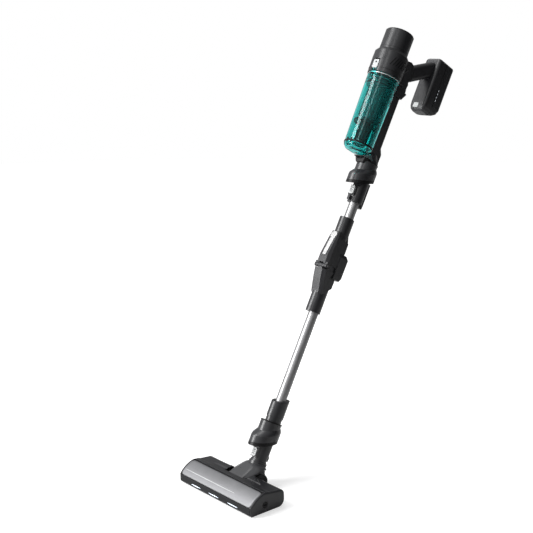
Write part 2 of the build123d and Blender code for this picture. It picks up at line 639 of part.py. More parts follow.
# ---- main unit ----
def motor_housing():
    """Ring over the bin, with the rear body that carries the handle, duct and trigger."""
    ring = turned([(0, RING_LOW + 6), (38.5, RING_LOW + 6), (39.6, RING_LOW), (43.2, RING_LOW),
                   (RING_R, 1060), (RING_R, RING_TOP), (CAP_R + 1.2, 1094.4), (CAP_R + 1.2, 1090),
                   (RING_R - 3, RING_TOP - 3), (RING_R - 3, RING_LOW + 10), (0, RING_LOW + 10)], MOTOR_Y)
    back = side_poly([(-30, RING_LOW + 0.4), (-30, 1092), (4, 1101), (13, 1098), (23, 1076), (25.5, 1058),
                      (16.5, 1054), (16.5, 1025), (25.5, 1022), (13.7, 1003), (-14, 1003), (-14, RING_LOW + 0.4)],
                     -16.5, 16.5)
    back = fillet(back.edges().filter_by(lambda e: abs(abs(e.center().X) - 16.5) < 0.01
                                         and e.center().Y > 3), 3.0)
    flare = side_poly([(-40, RING_LOW + 0.4), (-40, 1088), (-8, 1092), (-2, RING_LOW + 0.4)], -29, 29)
    shell = ring + (back + flare - turned_hollow())
    shell -= rod(17.0, 1020, 1050, 0, MOTOR_Y)
    shell -= latch_pocket()
    duct = box(-9, 9, -9, 5, 1000, 1026)
    port = box(-9, 9, -40, -5, 1006, 1024)
    shell -= duct + port
    for side in (-1, 1):
        for i in range(4):
            angle = 8 + 15.0 * i
            slit = Rot(0, 0, side * angle) * (Pos(side * RING_R, 0, 0) * (Rot(-side * 24, 0, 0)
                                              * box(-9, 9, -1.7, 1.7, -15, 15)))
            shell -= Pos(0, MOTOR_Y, 1066) * slit
    return shell


def turned_hollow():
    """The round space inside the ring."""
    return turned([(0, RING_LOW - 30), (RING_R - 0.4, RING_LOW - 30), (RING_R - 3.2, RING_LOW + 8),
                   (RING_R - 3.2, RING_TOP - 2), (CAP_R - 2.4, 1093), (CAP_R - 2.4, 1110), (0, 1110)], MOTOR_Y)


def latch_pocket():
    """Recess in the ring's front for the bin's tab and latch."""
    return box(-8.6 - GAP, 8.6 + GAP, MOTOR_Y - 60, MOTOR_Y - 38.8, RING_LOW - 5, 1060.5)


def motor_cap():
    """Round cover over the motor, open below, with a shallow dish on top."""
    outer = rod(CAP_R, 1094.6, CAP_TOP, 0, MOTOR_Y)
    outer = fillet(outer.edges().group_by(Axis.Z)[-1], 5.0)
    outer -= rod(CAP_R - 2.5, 1090, CAP_TOP - 3.5, 0, MOTOR_Y)
    outer -= rod(CAP_R - 8, CAP_TOP - 1.2, CAP_TOP + 1, 0, MOTOR_Y)
    for i in range(24):
        slot = Rot(0, 0, 15 * i) * box(13, 25, -1.1, 1.1, CAP_TOP - 5, CAP_TOP + 1)
        outer -= Pos(0, MOTOR_Y, 0) * slot
    return outer


def exhaust_filter():
    """Pleated ring filter between the motor and the vents."""
    rows = []
    for i in range(48):
        r = 33.2 if i % 2 else 30.4
        rows.append((r * math.cos(math.pi * i / 24), r * math.sin(math.pi * i / 24)))
    star = extrude(make_face(Polyline(*rows, close=True)), 38)
    return Pos(0, MOTOR_Y, 1103) * (star - rod(28.6, -1, 50))


def motor_stator():
    """Suction motor: can, end bell and mounting flange."""
    can = rod(24.0, 1062, 1108, 0, MOTOR_Y) + rod(38.0, 1060.5, 1063.5, 0, MOTOR_Y)
    can += rod(12.0, 1108, 1122, 0, MOTOR_Y)
    can -= rod(3.0 + FIT, 1050, 1116, 0, MOTOR_Y)
    for i in range(6):
        can -= Pos(0, MOTOR_Y, 0) * (Rot(0, 0, 60 * i) * box(27, 38, -5, 5, 1050, 1070))
    return can


def fan_impeller():
    """Impeller and shaft under the motor."""
    fan = rod(25.0, 1042.0, 1044.0, 0, MOTOR_Y) + rod(7.0, 1042.0, 1056.0, 0, MOTOR_Y)
    fan += rod(3.0, 1056, 1114, 0, MOTOR_Y)
    for i in range(7):
        blade = Rot(0, 0, 360 / 7 * i) * (Pos(16, 0, 0) * (Rot(0, 0, 28) * box(-10, 8, -0.8, 0.8, 1044, 1053)))
        fan += Pos(0, MOTOR_Y, 0) * blade
    return fan


def air_duct():
    """Spine behind the bin that carries dirty air from the socket up to the bin."""
    foot = UPPER_L + 138
    spine = side_poly([(SPINE_FRONT, foot), (SPINE_FRONT, 1002.8), (11.3, 1002.8), (11.3, 866),
                       (20.0, 853), (20.0, foot)], -11.5, 11.5)
    spine = fillet(spine.edges().filter_by(lambda e: abs(abs(e.center().X) - 11.5) < 0.01
                                           and e.center().Y > 5 and e.length > 12), 2.4)
    neck = oval_loft((foot, 24.3, 27.6, -4.5), (foot + 7, 22.0, 26.0, -3.5), (foot + 26, 12.0, 22.0, -3.5))
    body = spine + (neck & box(-40, 40, SPINE_FRONT, 60, foot, foot + 40))
    body -= box(-9, 9, -9, 7, foot + 2, 1010) + rod(13.0, foot - 1, foot + 6)
    return body - box(-8.5, 8.5, -30, -5, 986, 1000)


def bin_rest():
    """Black catch block on the socket that the bin's foot clips over."""
    foot = UPPER_L + 138
    base = slab_loft((foot - 9, 13, -36.0, SPINE_FRONT - 0.2, 3), (foot + 4.4, 18, -38.0, SPINE_FRONT - 0.2, 3))
    base -= oval(25.1, 28.6, foot - 30, foot, -4.5)
    return base - box(-9, 9, -40, -35.5, foot - 1, foot + 5)


def bin_latch():
    """White latch on the ring's front, pushed up to free the bin."""
    pad = box(-8.4, 8.4, MOTOR_Y - 44.6, MOTOR_Y - 39.4, 1034.6, 1056.6)
    pad = fillet(pad.edges().filter_by(Axis.Y), 3.0)
    return pad - rod_y(2.6, MOTOR_Y - 50, MOTOR_Y - 43.4, 0, 1050)


def bin_cup():
    """Clear dust bin, slightly tapered, open above, with an air port behind and a front tab."""
    top = RING_LOW - 0.5
    shell = turned([(BIN_R_LOW, BIN_LOW), (BIN_R_TOP, top), (BIN_R_TOP - 2, top), (BIN_R_TOP - 2.3, 1010),
                    (BIN_R_TOP - 4.4, 1008), (BIN_R_LOW - 2, BIN_LOW)], MOTOR_Y)
    shell += turned([(BIN_R_LOW - 0.5, BIN_LOW), (BIN_R_LOW + 0.9, BIN_LOW), (BIN_R_LOW + 0.9, BIN_LOW + 4),
                     (BIN_R_LOW - 0.5, BIN_LOW + 6)], MOTOR_Y)
    shell -= box(-8.5, 8.5, -25, 0, 986, 1000)
    tab = box(-8, 8, MOTOR_Y - 43.0, MOTOR_Y - 39.4, top - 12, 1033.6)
    tab = fillet(tab.edges().filter_by(Axis.Y).group_by(Axis.Z)[-1], 3.0)
    return shell + tab


def bin_door():
    """Clear domed floor of the bin, with its seal rim."""
    dome = turned([(0, 825.2), (20, 826.6), (30, 830.2), (35, 836), (BIN_R_LOW + 0.6, BIN_LOW - 0.4),
                   (BIN_R_LOW - 3.4, BIN_LOW - 0.4), (32, 837.6), (28, 832.6), (19, 829), (0, 827.6)], MOTOR_Y)
    return dome + (rod(BIN_R_LOW - 2.6, BIN_LOW - 0.4, BIN_LOW + 5, 0, MOTOR_Y)
                   - rod(BIN_R_LOW - 5.0, BIN_LOW - 2, BIN_LOW + 6, 0, MOTOR_Y))


def cyclone_shroud():
    """Grey ribbed shroud with a double flange that hangs in the bin's mouth."""
    parts = turned([(0, 1018), (36.3, 1018), (36.3, 1014), (28, 1013), (28, 1002), (36.0, 1001), (36.0, 998.4),
                    (26.5, 996), (24.5, 912), (30.5, 905), (30.5, 902.5), (17, 905), (14, 905), (20, 914),
                    (22.5, 1014), (0, 1014)], MOTOR_Y)
    for i in range(20):
        rib = Pos(0, MOTOR_Y, 0) * (Rot(0, 0, 18 * i + 9) * box(24.0, 27.4, -0.9, 0.9, 914, 996))
        parts += rib
    return parts - rod(15, 1010, 1020, 0, MOTOR_Y)


def cyclone_cone():
    """Inner cone and dust tube below the shroud."""
    return turned([(17, 904.8), (15.5, 890), (12.5, BIN_LOW + 6), (15.0, BIN_LOW + 2), (12.0, BIN_LOW + 2),
                   (10.8, BIN_LOW + 6), (13.6, 890), (14, 904.8)], MOTOR_Y)


# ---- handle, trigger, dock and battery ----
def handle_line(y, low):
    """Height of the handle's lower or upper line at y."""
    start = 1055.0 - 22.9 * math.tan(math.radians(HANDLE_SLOPE))
    return start + (0 if low else HANDLE_RISE) + y * math.tan(math.radians(HANDLE_SLOPE))


def handle_solid(half, inset):
    """The sloping grip between the motor body and the dock."""
    y0, y1 = 15.0 + inset, DOCK_FRONT + 8 - inset
    rise = math.tan(math.radians(HANDLE_SLOPE))
    mid = [(y, handle_line(y, True) + HANDLE_RISE / 2) for y in (y0, y1)]
    slope = Plane(origin=(0, mid[0][0], mid[0][1]), x_dir=(1, 0, 0),
                  z_dir=(0, mid[1][0] - mid[0][0], mid[1][1] - mid[0][1]))
    length = math.hypot(y1 - y0, (y1 - y0) * rise)
    tall = HANDLE_RISE * math.cos(math.radians(HANDLE_SLOPE)) - 2 * inset
    face = slope * RectangleRounded(2 * half, tall, 11.0 - inset)
    return extrude(face, length)


def handle_half(right):
    """One half of the grip's shell, with its inner edge on the middle plane."""
    body = handle_solid(HANDLE_HALF, 0) - handle_solid(HANDLE_HALF - 2.4, 2.4)
    body -= rear_block() + dock_solid(0)
    if not right:
        body -= handle_screws()
    keep = box(0, 40, -20, 140, 1000, 1200) if right else box(-40, 0, -20, 140, 1000, 1200)
    return body & keep


def rear_block():
    """The rear body's outline, cut from what butts against it."""
    return side_poly([(-30, 1000), (-30, 1101), (4, 1101), (13.4, 1098.6), (23.4, 1076), (25.9, 1058),
                      (25.9, 1000)], -17, 17)


def trigger():
    """Finger trigger under the root of the grip."""
    body = side_poly([(17.4, 1027), (17.4, 1052.4), (25.2, 1056), (28.4, 1050), (26.6, 1040), (28.6, 1030),
                      (25.0, 1026)], -6.5, 6.5)
    return fillet(body.edges().filter_by(lambda e: abs(abs(e.center().X) - 6.5) < 0.01
                                         and e.center().Y > 24), 1.6)


def trigger_pocket():
    """Slot in the rear body that the trigger moves in."""
    return box(-6.5 - GAP, 6.5 + GAP, 12.0, 30, 1025.6, 1057)


def block(inset):
    """The whole battery block with rounded-off ends, drawn inset from its outer skin."""
    rows = ((DOCK_LOW, 17, 97, 122, 4), (DOCK_LOW + 5, 22, 92.6, 136, 6), (DOCK_LOW + 13, 25, 90, 147, 8),
            (DOCK_LOW + 25, PACK_HALF, DOCK_FRONT, PACK_BACK, 9), (DOCK_TOP - 5.5, PACK_HALF, DOCK_FRONT, PACK_BACK, 9),
            (DOCK_TOP - 2, 24, 90, 152, 8), (DOCK_TOP, 20, 92, 150, 6))
    middle = (DOCK_LOW + DOCK_TOP) / 2
    return slab_loft(*((z + (inset if z < middle else -inset), half - inset, y0 + inset, y1 - inset,
                        max(r - inset, 1.2)) for z, half, y0, y1, r in rows))


def dock_solid(inset):
    """The front part of the battery block."""
    whole = block(inset)
    return whole & box(-60, 60, 0, DOCK_BACK - inset, 1000, 1200)


def battery_dock():
    """Front part of the block, fixed to the grip, with rails for the battery."""
    body = dock_solid(0) - (dock_solid(3.0) & box(-60, 60, 80, DOCK_BACK - 4, 1028, 1150))
    body -= battery_button_space()
    for x in (-17.0, 17.0):
        body += box(x - 2.0, x + 2.0, DOCK_BACK, DOCK_BACK + 3.2, 1036, 1140)
    return body


def battery_shell():
    """Rear part of the block: the battery, which slides down off the dock's rails."""
    whole = block(0)
    body = whole & box(-60, 60, DOCK_BACK + 1.0, 200, 1000, 1200)
    body -= box(-PACK_HALF + 3.2, PACK_HALF - 3.2, DOCK_BACK + 6.8, PACK_BACK - 3, CELL_LOW - 2, DOCK_TOP - 12)
    for x in (-17.0, 17.0):
        body -= box(x - 2.0 - GAP, x + 2.0 + GAP, DOCK_BACK, DOCK_BACK + 3.2 + GAP, 1000, 1200)
    body += rod_y(6.0, PACK_BACK - 9.0, PACK_BACK - 2.0, 0, CHARGE_L)
    return body - rod_y(CHARGE_R, PACK_BACK - 8.0, PACK_BACK + 1, 0, CHARGE_L)


def battery_cells():
    """Four round cells inside the battery, in two layers."""
    cells = []
    for x in (-12.5, 12.5):
        for layer in (0, 1):
            low = CELL_LOW + layer * (CELL_LONG + 2.0)
            cells.extend(rod(9.1, low, low + CELL_LONG, x, DOCK_BACK + 17.2).solids())
    return Compound(cells)


def battery_button_space():
    return box(-12.0 - GAP, 4.0 + GAP, DOCK_FRONT - 5, DOCK_FRONT + 8, 1018.6, 1033)


def battery_button():
    """Pale release button at the foot of the dock's front."""
    pad = box(-12.0, 4.0, DOCK_FRONT + 0.4, DOCK_FRONT + 6.0, 1020.0, 1032.4)
    return fillet(pad.edges().filter_by(Axis.Y), 2.0)


def circuit_board():
    """Control board inside the dock."""
    return box(-20, 20, DOCK_FRONT + 12, DOCK_FRONT + 13.6, 1040, 1100)


def handle_screws():
    """Screws in the left of the grip."""
    screws = []
    for y in (34.0, 74.0):
        at = handle_line(y, True) + HANDLE_RISE / 2
        screws.extend((rod_x(2.6, -HANDLE_HALF + 0.2, -HANDLE_HALF + 2.4, y, at)).solids())
    return Compound(screws)


# ---- write every node ----
HEAD_NODES = {
    "head_base": head_base,
    "head_rear_cover": rear_cover,
    "head_roller_cover": roller_cover,
    "head_window": head_window,
    "headlights": headlights,
    "headlight_board": lamp_board,
    "head_end_cap_left": lambda: end_cap(False),
    "head_end_cap_right": lambda: end_cap(True),
    "brush_lock": end_lock,
    "brush_core": brush_core,
    "brush_bristles": bristles,
    "brush_bearings": brush_bearings,
    "brush_pulley": brush_pulley,
    "motor_pulley": motor_pulley,
    "drive_belt": belt,
    "brush_motor": brush_motor,
    "head_screws": head_screws,
    "yoke_body": yoke_body,
    "yoke_hood": yoke_hood,
    "pivot_pins": pivot_pins,
    "rear_wheel_right": rear_wheel,
    "rear_wheel_left": lambda: mirror_x(rear_wheel()),
}

WAND_NODES = {
    "neck_shell": neck_shell,
    "neck_seal": plug_seal,
    "neck_button": neck_button,
    "lower_socket": lambda: socket(0),
    "lower_socket_ring": lambda: socket_ring(0),
    "lower_sleeve": lower_sleeve,
    "lower_tube": lambda: tube(151, 461),
    "fold_lower_housing": fold_lower,
    "fold_upper_housing": fold_upper,
    "fold_pin": fold_pin,
    "fold_hose": fold_hose,
    "fold_button": fold_button,
    "upper_tube": lambda: tube(629, 741),
    "upper_plug": upper_plug,
    "wand_button": wand_button,
    "upper_socket": lambda: socket(UPPER_L),
    "upper_socket_ring": lambda: socket_ring(UPPER_L),
    "air_duct": air_duct,
    "bin_rest": bin_rest,
    "bin_cup": bin_cup,
    "bin_door": bin_door,
    "bin_latch": bin_latch,
    "cyclone_shroud": cyclone_shroud,
    "cyclone_cone": cyclone_cone,
    "motor_housing": lambda: motor_housing() - trigger_pocket(),
    "motor_cap": motor_cap,
    "exhaust_filter": exhaust_filter,
    "suction_motor": motor_stator,
    "fan_impeller": fan_impeller,
    "handle_shell_left": lambda: handle_half(False),
    "handle_shell_right": lambda: handle_half(True),
    "trigger": trigger,
    "battery_dock": battery_dock,
    "battery_button": battery_button,
    "battery_shell": battery_shell,
    "battery_cells": battery_cells,
    "circuit_board": circuit_board,
    "handle_screws": handle_screws,
}

for name, make in HEAD_NODES.items():
    save(name, make())
for name, make in WAND_NODES.items():
    save(name, make(), WAND)
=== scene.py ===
import json
import math

import bpy
import bmesh
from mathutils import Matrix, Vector


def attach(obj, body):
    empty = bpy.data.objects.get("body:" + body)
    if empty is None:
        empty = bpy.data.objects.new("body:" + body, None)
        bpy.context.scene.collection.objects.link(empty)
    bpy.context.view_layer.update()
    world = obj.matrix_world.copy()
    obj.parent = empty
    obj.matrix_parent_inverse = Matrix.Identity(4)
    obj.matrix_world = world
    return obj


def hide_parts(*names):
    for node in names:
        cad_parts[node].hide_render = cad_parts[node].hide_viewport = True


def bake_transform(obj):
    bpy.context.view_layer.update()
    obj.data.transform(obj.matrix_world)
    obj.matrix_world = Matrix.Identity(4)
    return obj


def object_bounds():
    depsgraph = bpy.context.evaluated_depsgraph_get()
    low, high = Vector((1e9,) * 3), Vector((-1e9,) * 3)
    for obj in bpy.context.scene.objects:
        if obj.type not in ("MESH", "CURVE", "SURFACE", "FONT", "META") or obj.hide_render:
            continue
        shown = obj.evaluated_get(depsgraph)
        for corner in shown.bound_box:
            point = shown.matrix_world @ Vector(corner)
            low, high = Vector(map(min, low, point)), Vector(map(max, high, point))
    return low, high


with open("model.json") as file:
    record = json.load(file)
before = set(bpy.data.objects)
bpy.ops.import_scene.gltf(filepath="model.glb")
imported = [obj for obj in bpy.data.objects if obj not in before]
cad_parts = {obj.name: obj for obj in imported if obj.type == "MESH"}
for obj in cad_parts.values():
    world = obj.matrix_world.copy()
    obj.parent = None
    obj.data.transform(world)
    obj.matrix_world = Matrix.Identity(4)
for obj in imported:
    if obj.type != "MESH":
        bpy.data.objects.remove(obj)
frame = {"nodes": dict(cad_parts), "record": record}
cad_low, cad_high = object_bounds()

# ---- the wand's own frame: x across, y behind the wand's axis, z along the wand, in millimetres ----
LEAN = math.radians(28.0)
PIVOT = Vector((0.0, 0.0714, 0.0234))
MOTOR_Y = -57.0


def wand(x, y, z):
    """A point of the leaning wand, in metres."""
    y, z = y * math.cos(LEAN) + z * math.sin(LEAN), z * math.cos(LEAN) - y * math.sin(LEAN)
    return PIVOT + Vector((x, y, z)) / 1000


def head(x, y, z):
    """A point of the floor head, in metres."""
    return Vector((x, y, z)) / 1000


# ---- materials ----
def link(tree, source, target):
    """Joins two sockets."""
    tree.links.new(source, target)


def node(tree, kind, **values):
    """A node with its sockets set by name."""
    made = tree.nodes.new(kind)
    for key, value in values.items():
        if key.startswith("_"):
            setattr(made, key[1:], value)
        else:
            made.inputs[key.replace("_", " ")].default_value = value
    return made


def blank(name):
    """A new material with one surface shader."""
    made = bpy.data.materials.new(name)
    made.use_nodes = True
    tree = made.node_tree
    tree.nodes.clear()
    shader = node(tree, "ShaderNodeBsdfPrincipled")
    out = node(tree, "ShaderNodeOutputMaterial")
    link(tree, shader.outputs[0], out.inputs[0])
    return made, tree, shader


def ranged(tree, source, low, high, to_low, to_high):
    """Maps low..high of a value onto to_low..to_high."""
    made = node(tree, "ShaderNodeMapRange", From_Min=low, From_Max=high, To_Min=to_low, To_Max=to_high)
    link(tree, source, made.inputs["Value"])
    return made.outputs["Result"]


def mixed(tree, factor, first, second):
    """Mixes two colours by a factor socket."""
    made = tree.nodes.new("ShaderNodeMix")
    made.data_type = "RGBA"
    link(tree, factor, made.inputs[0])
    for value, socket in ((first, made.inputs[6]), (second, made.inputs[7])):
        if isinstance(value, tuple):
            socket.default_value = (*value, 1)
        else:
            link(tree, value, socket)
    return made.outputs[2]


def grain(tree, scale, detail=2.0, stretch=None, tilt=0.0):
    """Noise in the piece's own space, drawn out along one direction when stretch is given."""
    place = node(tree, "ShaderNodeTexCoord")
    source = place.outputs["Object"]
    if stretch is not None:
        turn = node(tree, "ShaderNodeMapping", Rotation=(tilt, 0, 0))
        link(tree, source, turn.inputs["Vector"])
        scaled = node(tree, "ShaderNodeMapping", Scale=stretch)
        link(tree, turn.outputs[0], scaled.inputs["Vector"])
        source = scaled.outputs[0]
    made = node(tree, "ShaderNodeTexNoise", Scale=scale, Detail=detail, Roughness=0.55)
    link(tree, source, made.inputs["Vector"])
    return made.outputs["Fac"]


def surface(name, colour, rough, fine=1800.0, bump=0.05, soft=0.0006, wear_and_highlight=0.25, spread=0.14, metallic=0.0,
            specular=0.5, stretch=None, tilt=0.0, coat=0.0, sheen=0.0, rough_spread=0.07, bump_mm=0.05):
    """Moulded or painted surface: blotches, fine grain, softened edges lightened as wear and a painted
    highlight.
    """
    made, tree, shader = blank(name)
    shader.inputs["Metallic"].default_value = metallic
    shader.inputs["Specular IOR Level"].default_value = specular
    shader.inputs["Coat Weight"].default_value = coat
    shader.inputs["Coat Roughness"].default_value = 0.12
    shader.inputs["Sheen Weight"].default_value = sheen
    blotch = grain(tree, 21.0, 4.0)
    small = grain(tree, fine, 2.0, stretch, tilt)
    dark = tuple(c * (1 - spread) for c in colour)
    light = tuple(min(1.0, c * (1 + spread)) for c in colour)
    body = mixed(tree, ranged(tree, blotch, 0.3, 0.7, 0.0, 1.0), dark, light)
    flecks = ranged(tree, small, 0.35, 0.65, 0.0, 1.0)
    pale = tuple(min(1.0, c * (1 + 2 * spread)) for c in colour)
    body = mixed(tree, ranged(tree, flecks, 0.0, 1.0, 0.0, 0.35), body, pale)
    rounded = node(tree, "ShaderNodeBevel", Radius=soft, _samples=4)
    flat = node(tree, "ShaderNodeNewGeometry")
    dot = node(tree, "ShaderNodeVectorMath", _operation="DOT_PRODUCT")
    link(tree, rounded.outputs[0], dot.inputs[0])
    link(tree, flat.outputs["Normal"], dot.inputs[1])
    # edges are lightened: partly rubbed wear, partly a painted edge highlight
    edge = ranged(tree, dot.outputs["Value"], 0.80, 0.995, wear_and_highlight, 0.0)
    rubbed_and_highlight = tuple(min(1.0, c * 1.8 + 0.012) for c in colour)
    link(tree, mixed(tree, edge, body, rubbed_and_highlight), shader.inputs["Base Color"])
    link(tree, ranged(tree, blotch, 0.25, 0.75, rough - rough_spread, rough + rough_spread),
         shader.inputs["Roughness"])
    relief = node(tree, "ShaderNodeBump", Strength=bump, Distance=bump_mm / 1000)
    link(tree, small, relief.inputs["Height"])
    link(tree, rounded.outputs[0], relief.inputs["Normal"])
    link(tree, relief.outputs[0], shader.inputs["Normal"])
    return made


def clear(name, colour, rough, ior=1.30):
    """Tinted see-through moulding with faint rubbing marks."""
    made, tree, shader = blank(name)
    shader.inputs["Transmission Weight"].default_value = 1.0
    shader.inputs["IOR"].default_value = ior
    shader.inputs["Coat Weight"].default_value = 0.1
    shader.inputs["Coat Roughness"].default_value = 0.08
    marks = grain(tree, 60.0, 5.0, (14, 14, 1), LEAN)
    haze = grain(tree, 9.0, 2.0)
    deep = tuple(c * 0.90 for c in colour)
    tint = mixed(tree, ranged(tree, haze, 0.3, 0.7, 0.0, 1.0), deep, colour)
    link(tree, tint, shader.inputs["Base Color"])
    link(tree, ranged(tree, marks, 0.45, 0.75, rough, rough + 0.02), shader.inputs["Roughness"])
    return made


def glowing(name, colour, strength, boost):
    """Lamp lens that glows slightly unevenly."""
    made, tree, shader = blank(name)
    ripple = grain(tree, 420.0, 1.0)
    link(tree, mixed(tree, ripple, colour, (1.0, 1.0, 1.0)), shader.inputs["Emission Color"])
    power = ranged(tree, ripple, 0.3, 0.7, strength, strength * boost)
    link(tree, power, shader.inputs["Emission Strength"])
    shader.inputs["Base Color"].default_value = (0.85, 0.9, 1.0, 1)
    shader.inputs["Roughness"].default_value = 0.25
    return made


def board(name):
    """Circuit board: green lacquer over a net of tracks."""
    made, tree, shader = blank(name)
    place = node(tree, "ShaderNodeTexCoord")
    tracks = node(tree, "ShaderNodeTexBrick", Scale=260.0, Mortar_Size=0.06)
    tracks.inputs["Color1"].default_value = (0.01, 0.09, 0.035, 1)
    tracks.inputs["Color2"].default_value = (0.012, 0.12, 0.045, 1)
    tracks.inputs["Mortar"].default_value = (0.10, 0.22, 0.06, 1)
    link(tree, place.outputs["Object"], tracks.inputs["Vector"])
    link(tree, tracks.outputs["Color"], shader.inputs["Base Color"])
    link(tree, ranged(tree, grain(tree, 300.0), 0.3, 0.7, 0.25, 0.45), shader.inputs["Roughness"])
    return made


# stretch of the fine grain along the wand, and across the roller panel
WAND_BRUSH = (1, 1, 0.012)
PANEL_BRUSH = (0.12, 1.4, 1.4)

MATERIALS = {
    "charcoal_plastic": surface("charcoal_satin", (0.0125, 0.0128, 0.0148), 0.31, specular=0.52,
                                rough_spread=0.05),
    "grey_plastic": surface("grey_satin", (0.019, 0.0193, 0.0215), 0.30, specular=0.5, rough_spread=0.05),
    "black_plastic": surface("black_satin", (0.003, 0.003, 0.0036), 0.42, specular=0.22),
    "gloss_black": surface("smoked_gloss", (0.003, 0.0034, 0.0048), 0.14, fine=900, bump=0.01, wear_and_highlight=0.1,
                           rough_spread=0.03, specular=0.3),
    "silver_cover": surface("brushed_silver", (0.165, 0.166, 0.172), 0.50, fine=900, bump=0.16, wear_and_highlight=0.35,
                            spread=0.08, metallic=0.75, stretch=PANEL_BRUSH, soft=0.0008),
    "aluminium": surface("drawn_aluminium", (0.27, 0.27, 0.275), 0.42, fine=500, bump=0.0, wear_and_highlight=0.05,
                         spread=0.04, metallic=1.0, stretch=WAND_BRUSH, tilt=LEAN),
    "steel": surface("turned_steel", (0.26, 0.26, 0.27), 0.36, fine=1500, bump=0.08, spread=0.08,
                     metallic=1.0),
    "button_white": surface("pale_satin", (0.40, 0.41, 0.41), 0.34, spread=0.04, wear_and_highlight=0.1, coat=0.1),
    "button_silver": surface("satin_silver", (0.38, 0.38, 0.38), 0.42, fine=1300, spread=0.05,
                             metallic=0.85, stretch=WAND_BRUSH, tilt=LEAN, wear_and_highlight=0.1),
    "teal_clear": clear("teal_clear", (0.065, 0.63, 0.61), 0.01),
    "shroud_grey": surface("shroud_satin", (0.05, 0.051, 0.053), 0.30, wear_and_highlight=0.1),
    "lamp": glowing("lamp_lens", (0.50, 0.74, 1.0), 0.95, 1.5),
    "board": board("circuit_board"),
    "rubber": surface("soft_rubber", (0.010, 0.010, 0.0105), 0.68, fine=1200, bump=0.12, specular=0.3,
                      sheen=0.15),
    "bristle": surface("nylon_bristle", (0.012, 0.012, 0.014), 0.5, fine=2600, bump=0.2, sheen=0.3,
                       soft=0.0002),
    "filter_media": surface("filter_felt", (0.55, 0.55, 0.52), 0.85, fine=700, bump=0.5, sheen=0.3,
                            bump_mm=0.3),
    "cell_wrap": surface("cell_wrap", (0.03, 0.16, 0.22), 0.28, wear_and_highlight=0.1, coat=0.4),
}
# lighter copy of grey_satin for the yoke saddle: painted light falling on it
SADDLE_PAINTED_LIGHT = surface("saddle_satin_painted_light", (0.040, 0.0405, 0.043), 0.30, specular=0.5, rough_spread=0.05)
BRIGHT = surface("bright_line", (0.80, 0.80, 0.81), 0.22, fine=900, spread=0.04, metallic=0.9, soft=0.0002,
                 wear_and_highlight=0.0)
GLOW_SOFT = glowing("indicator_lamp", (0.80, 0.90, 1.0), 0.28, 1.2)

for part in frame["record"]["subparts"]:
    shown = frame["nodes"][part["node"]]
    for place in shown.material_slots:
        place.material = MATERIALS[part["material_slot"]]


# ---- building pieces ----
BEVEL_ABOVE = math.radians(28)


def piece(name, mesh_maker, body, slot, replaced=(), smooth=True, bevel=0.0, levels=0, material=None):
    """Turns a filled bmesh into an object on a body, in its slot's material unless one is given."""
    bmesh.ops.recalc_face_normals(mesh_maker, faces=mesh_maker.faces)
    mesh = bpy.data.meshes.new(name)
    mesh_maker.to_mesh(mesh)
    mesh_maker.free()
    for face in mesh.polygons:
        face.use_smooth = smooth
    obj = bpy.data.objects.new(name, mesh)
    bpy.context.scene.collection.objects.link(obj)
    mesh.materials.append(material or MATERIALS[slot])
    if bevel:
        soft = obj.modifiers.new("bevel", "BEVEL")
        soft.width = bevel / 1000
        soft.segments = 2
        soft.limit_method = "ANGLE"
        soft.angle_limit = BEVEL_ABOVE
    if levels:
        fine = obj.modifiers.new("subdivision", "SUBSURF")
        fine.levels = fine.render_levels = levels
    if body is not None:
        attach(obj, body)
    if replaced:
        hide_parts(*replaced)
    return obj


def ring_of(made, points):
    """Adds a ring of vertices."""
    return [made.verts.new(p) for p in points]


def skin(made, rings, closed=True, cap=True):
    """Joins rings of vertices with quads, and caps the ends."""
    for lower, upper in zip(rings, rings[1:]):
        count = len(lower)
        for i in range(count if closed else count - 1):
            j = (i + 1) % count
            made.faces.new((lower[i], lower[j], upper[j], upper[i]))
    if cap:
        made.faces.new(rings[0])
        made.faces.new(tuple(reversed(rings[-1])))


def super_ring(place, half, y0, y1, z, power=4.0, count=40):
    """A rounded-rectangle ring at height z; a higher power gives squarer corners."""
    middle, deep = (y0 + y1) / 2, (y1 - y0) / 2
    points = []
    for i in range(count):
        turn = 2 * math.pi * i / count
        c, s = math.cos(turn), math.sin(turn)
        points.append(place(half * math.copysign(abs(c) ** (2 / power), c),
                            middle + deep * math.copysign(abs(s) ** (2 / power), s), z))
    return points


def bar(made, place, start, end, width, deep, across=(1, 0, 0)):
    """A slim block from start to end in a place's own millimetres."""
    a, b = Vector(start), Vector(end)
    side = Vector(across) * width / 2
    out = (b - a).cross(Vector(across)).normalized() * deep / 2
    rings = []
    for point in (a, b):
        rings.append(ring_of(made, [place(*(point + side * i + out * j))
                                    for i, j in ((-1, -1), (1, -1), (1, 1), (-1, 1))]))
    skin(made, rings)


def bore(made, place, profile, y, count=64):
    """A closed turned shape about the wand-wise axis at y, from (radius, z) points in order."""
    rings = []
    for i in range(count):
        turn = 2 * math.pi * i / count
        c, s = math.cos(turn), math.sin(turn)
        rings.append(ring_of(made, [place(r * c, y + r * s, z) for r, z in profile]))
    rings.append(rings[0])
    for first, second in zip(rings, rings[1:]):
        for j in range(len(profile)):
            k = (j + 1) % len(profile)
            made.faces.new((first[j], first[k], second[k], second[j]))


# ---- fold joint: ribbed hose through the joint ----
def hose():
    """Corrugated air hose through the fold joint."""
    made = bmesh.new()
    outer, inner = [], []
    steps, folds, foot, length, depth = 120, 17, 481.5, 129.0, 1.3
    for i in range(steps + 1):
        z = foot + length * i / steps
        wave = depth * abs(math.sin(math.pi * folds * i / steps)) ** 0.7
        outer.append(super_ring(wand, 11.4 + wave, -10.1 - wave, 11.1 + wave, z, 2.0, 40))
        inner.append(super_ring(wand, 10.2, -8.9, 9.9, z, 2.0, 40))
    rings = [ring_of(made, r) for r in outer] + [ring_of(made, r) for r in reversed(inner)]
    rings.append(rings[0])
    skin(made, rings, cap=False)
    obj = piece("fold_bellows", made, None, "rubber", ("fold_hose",))
    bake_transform(obj)


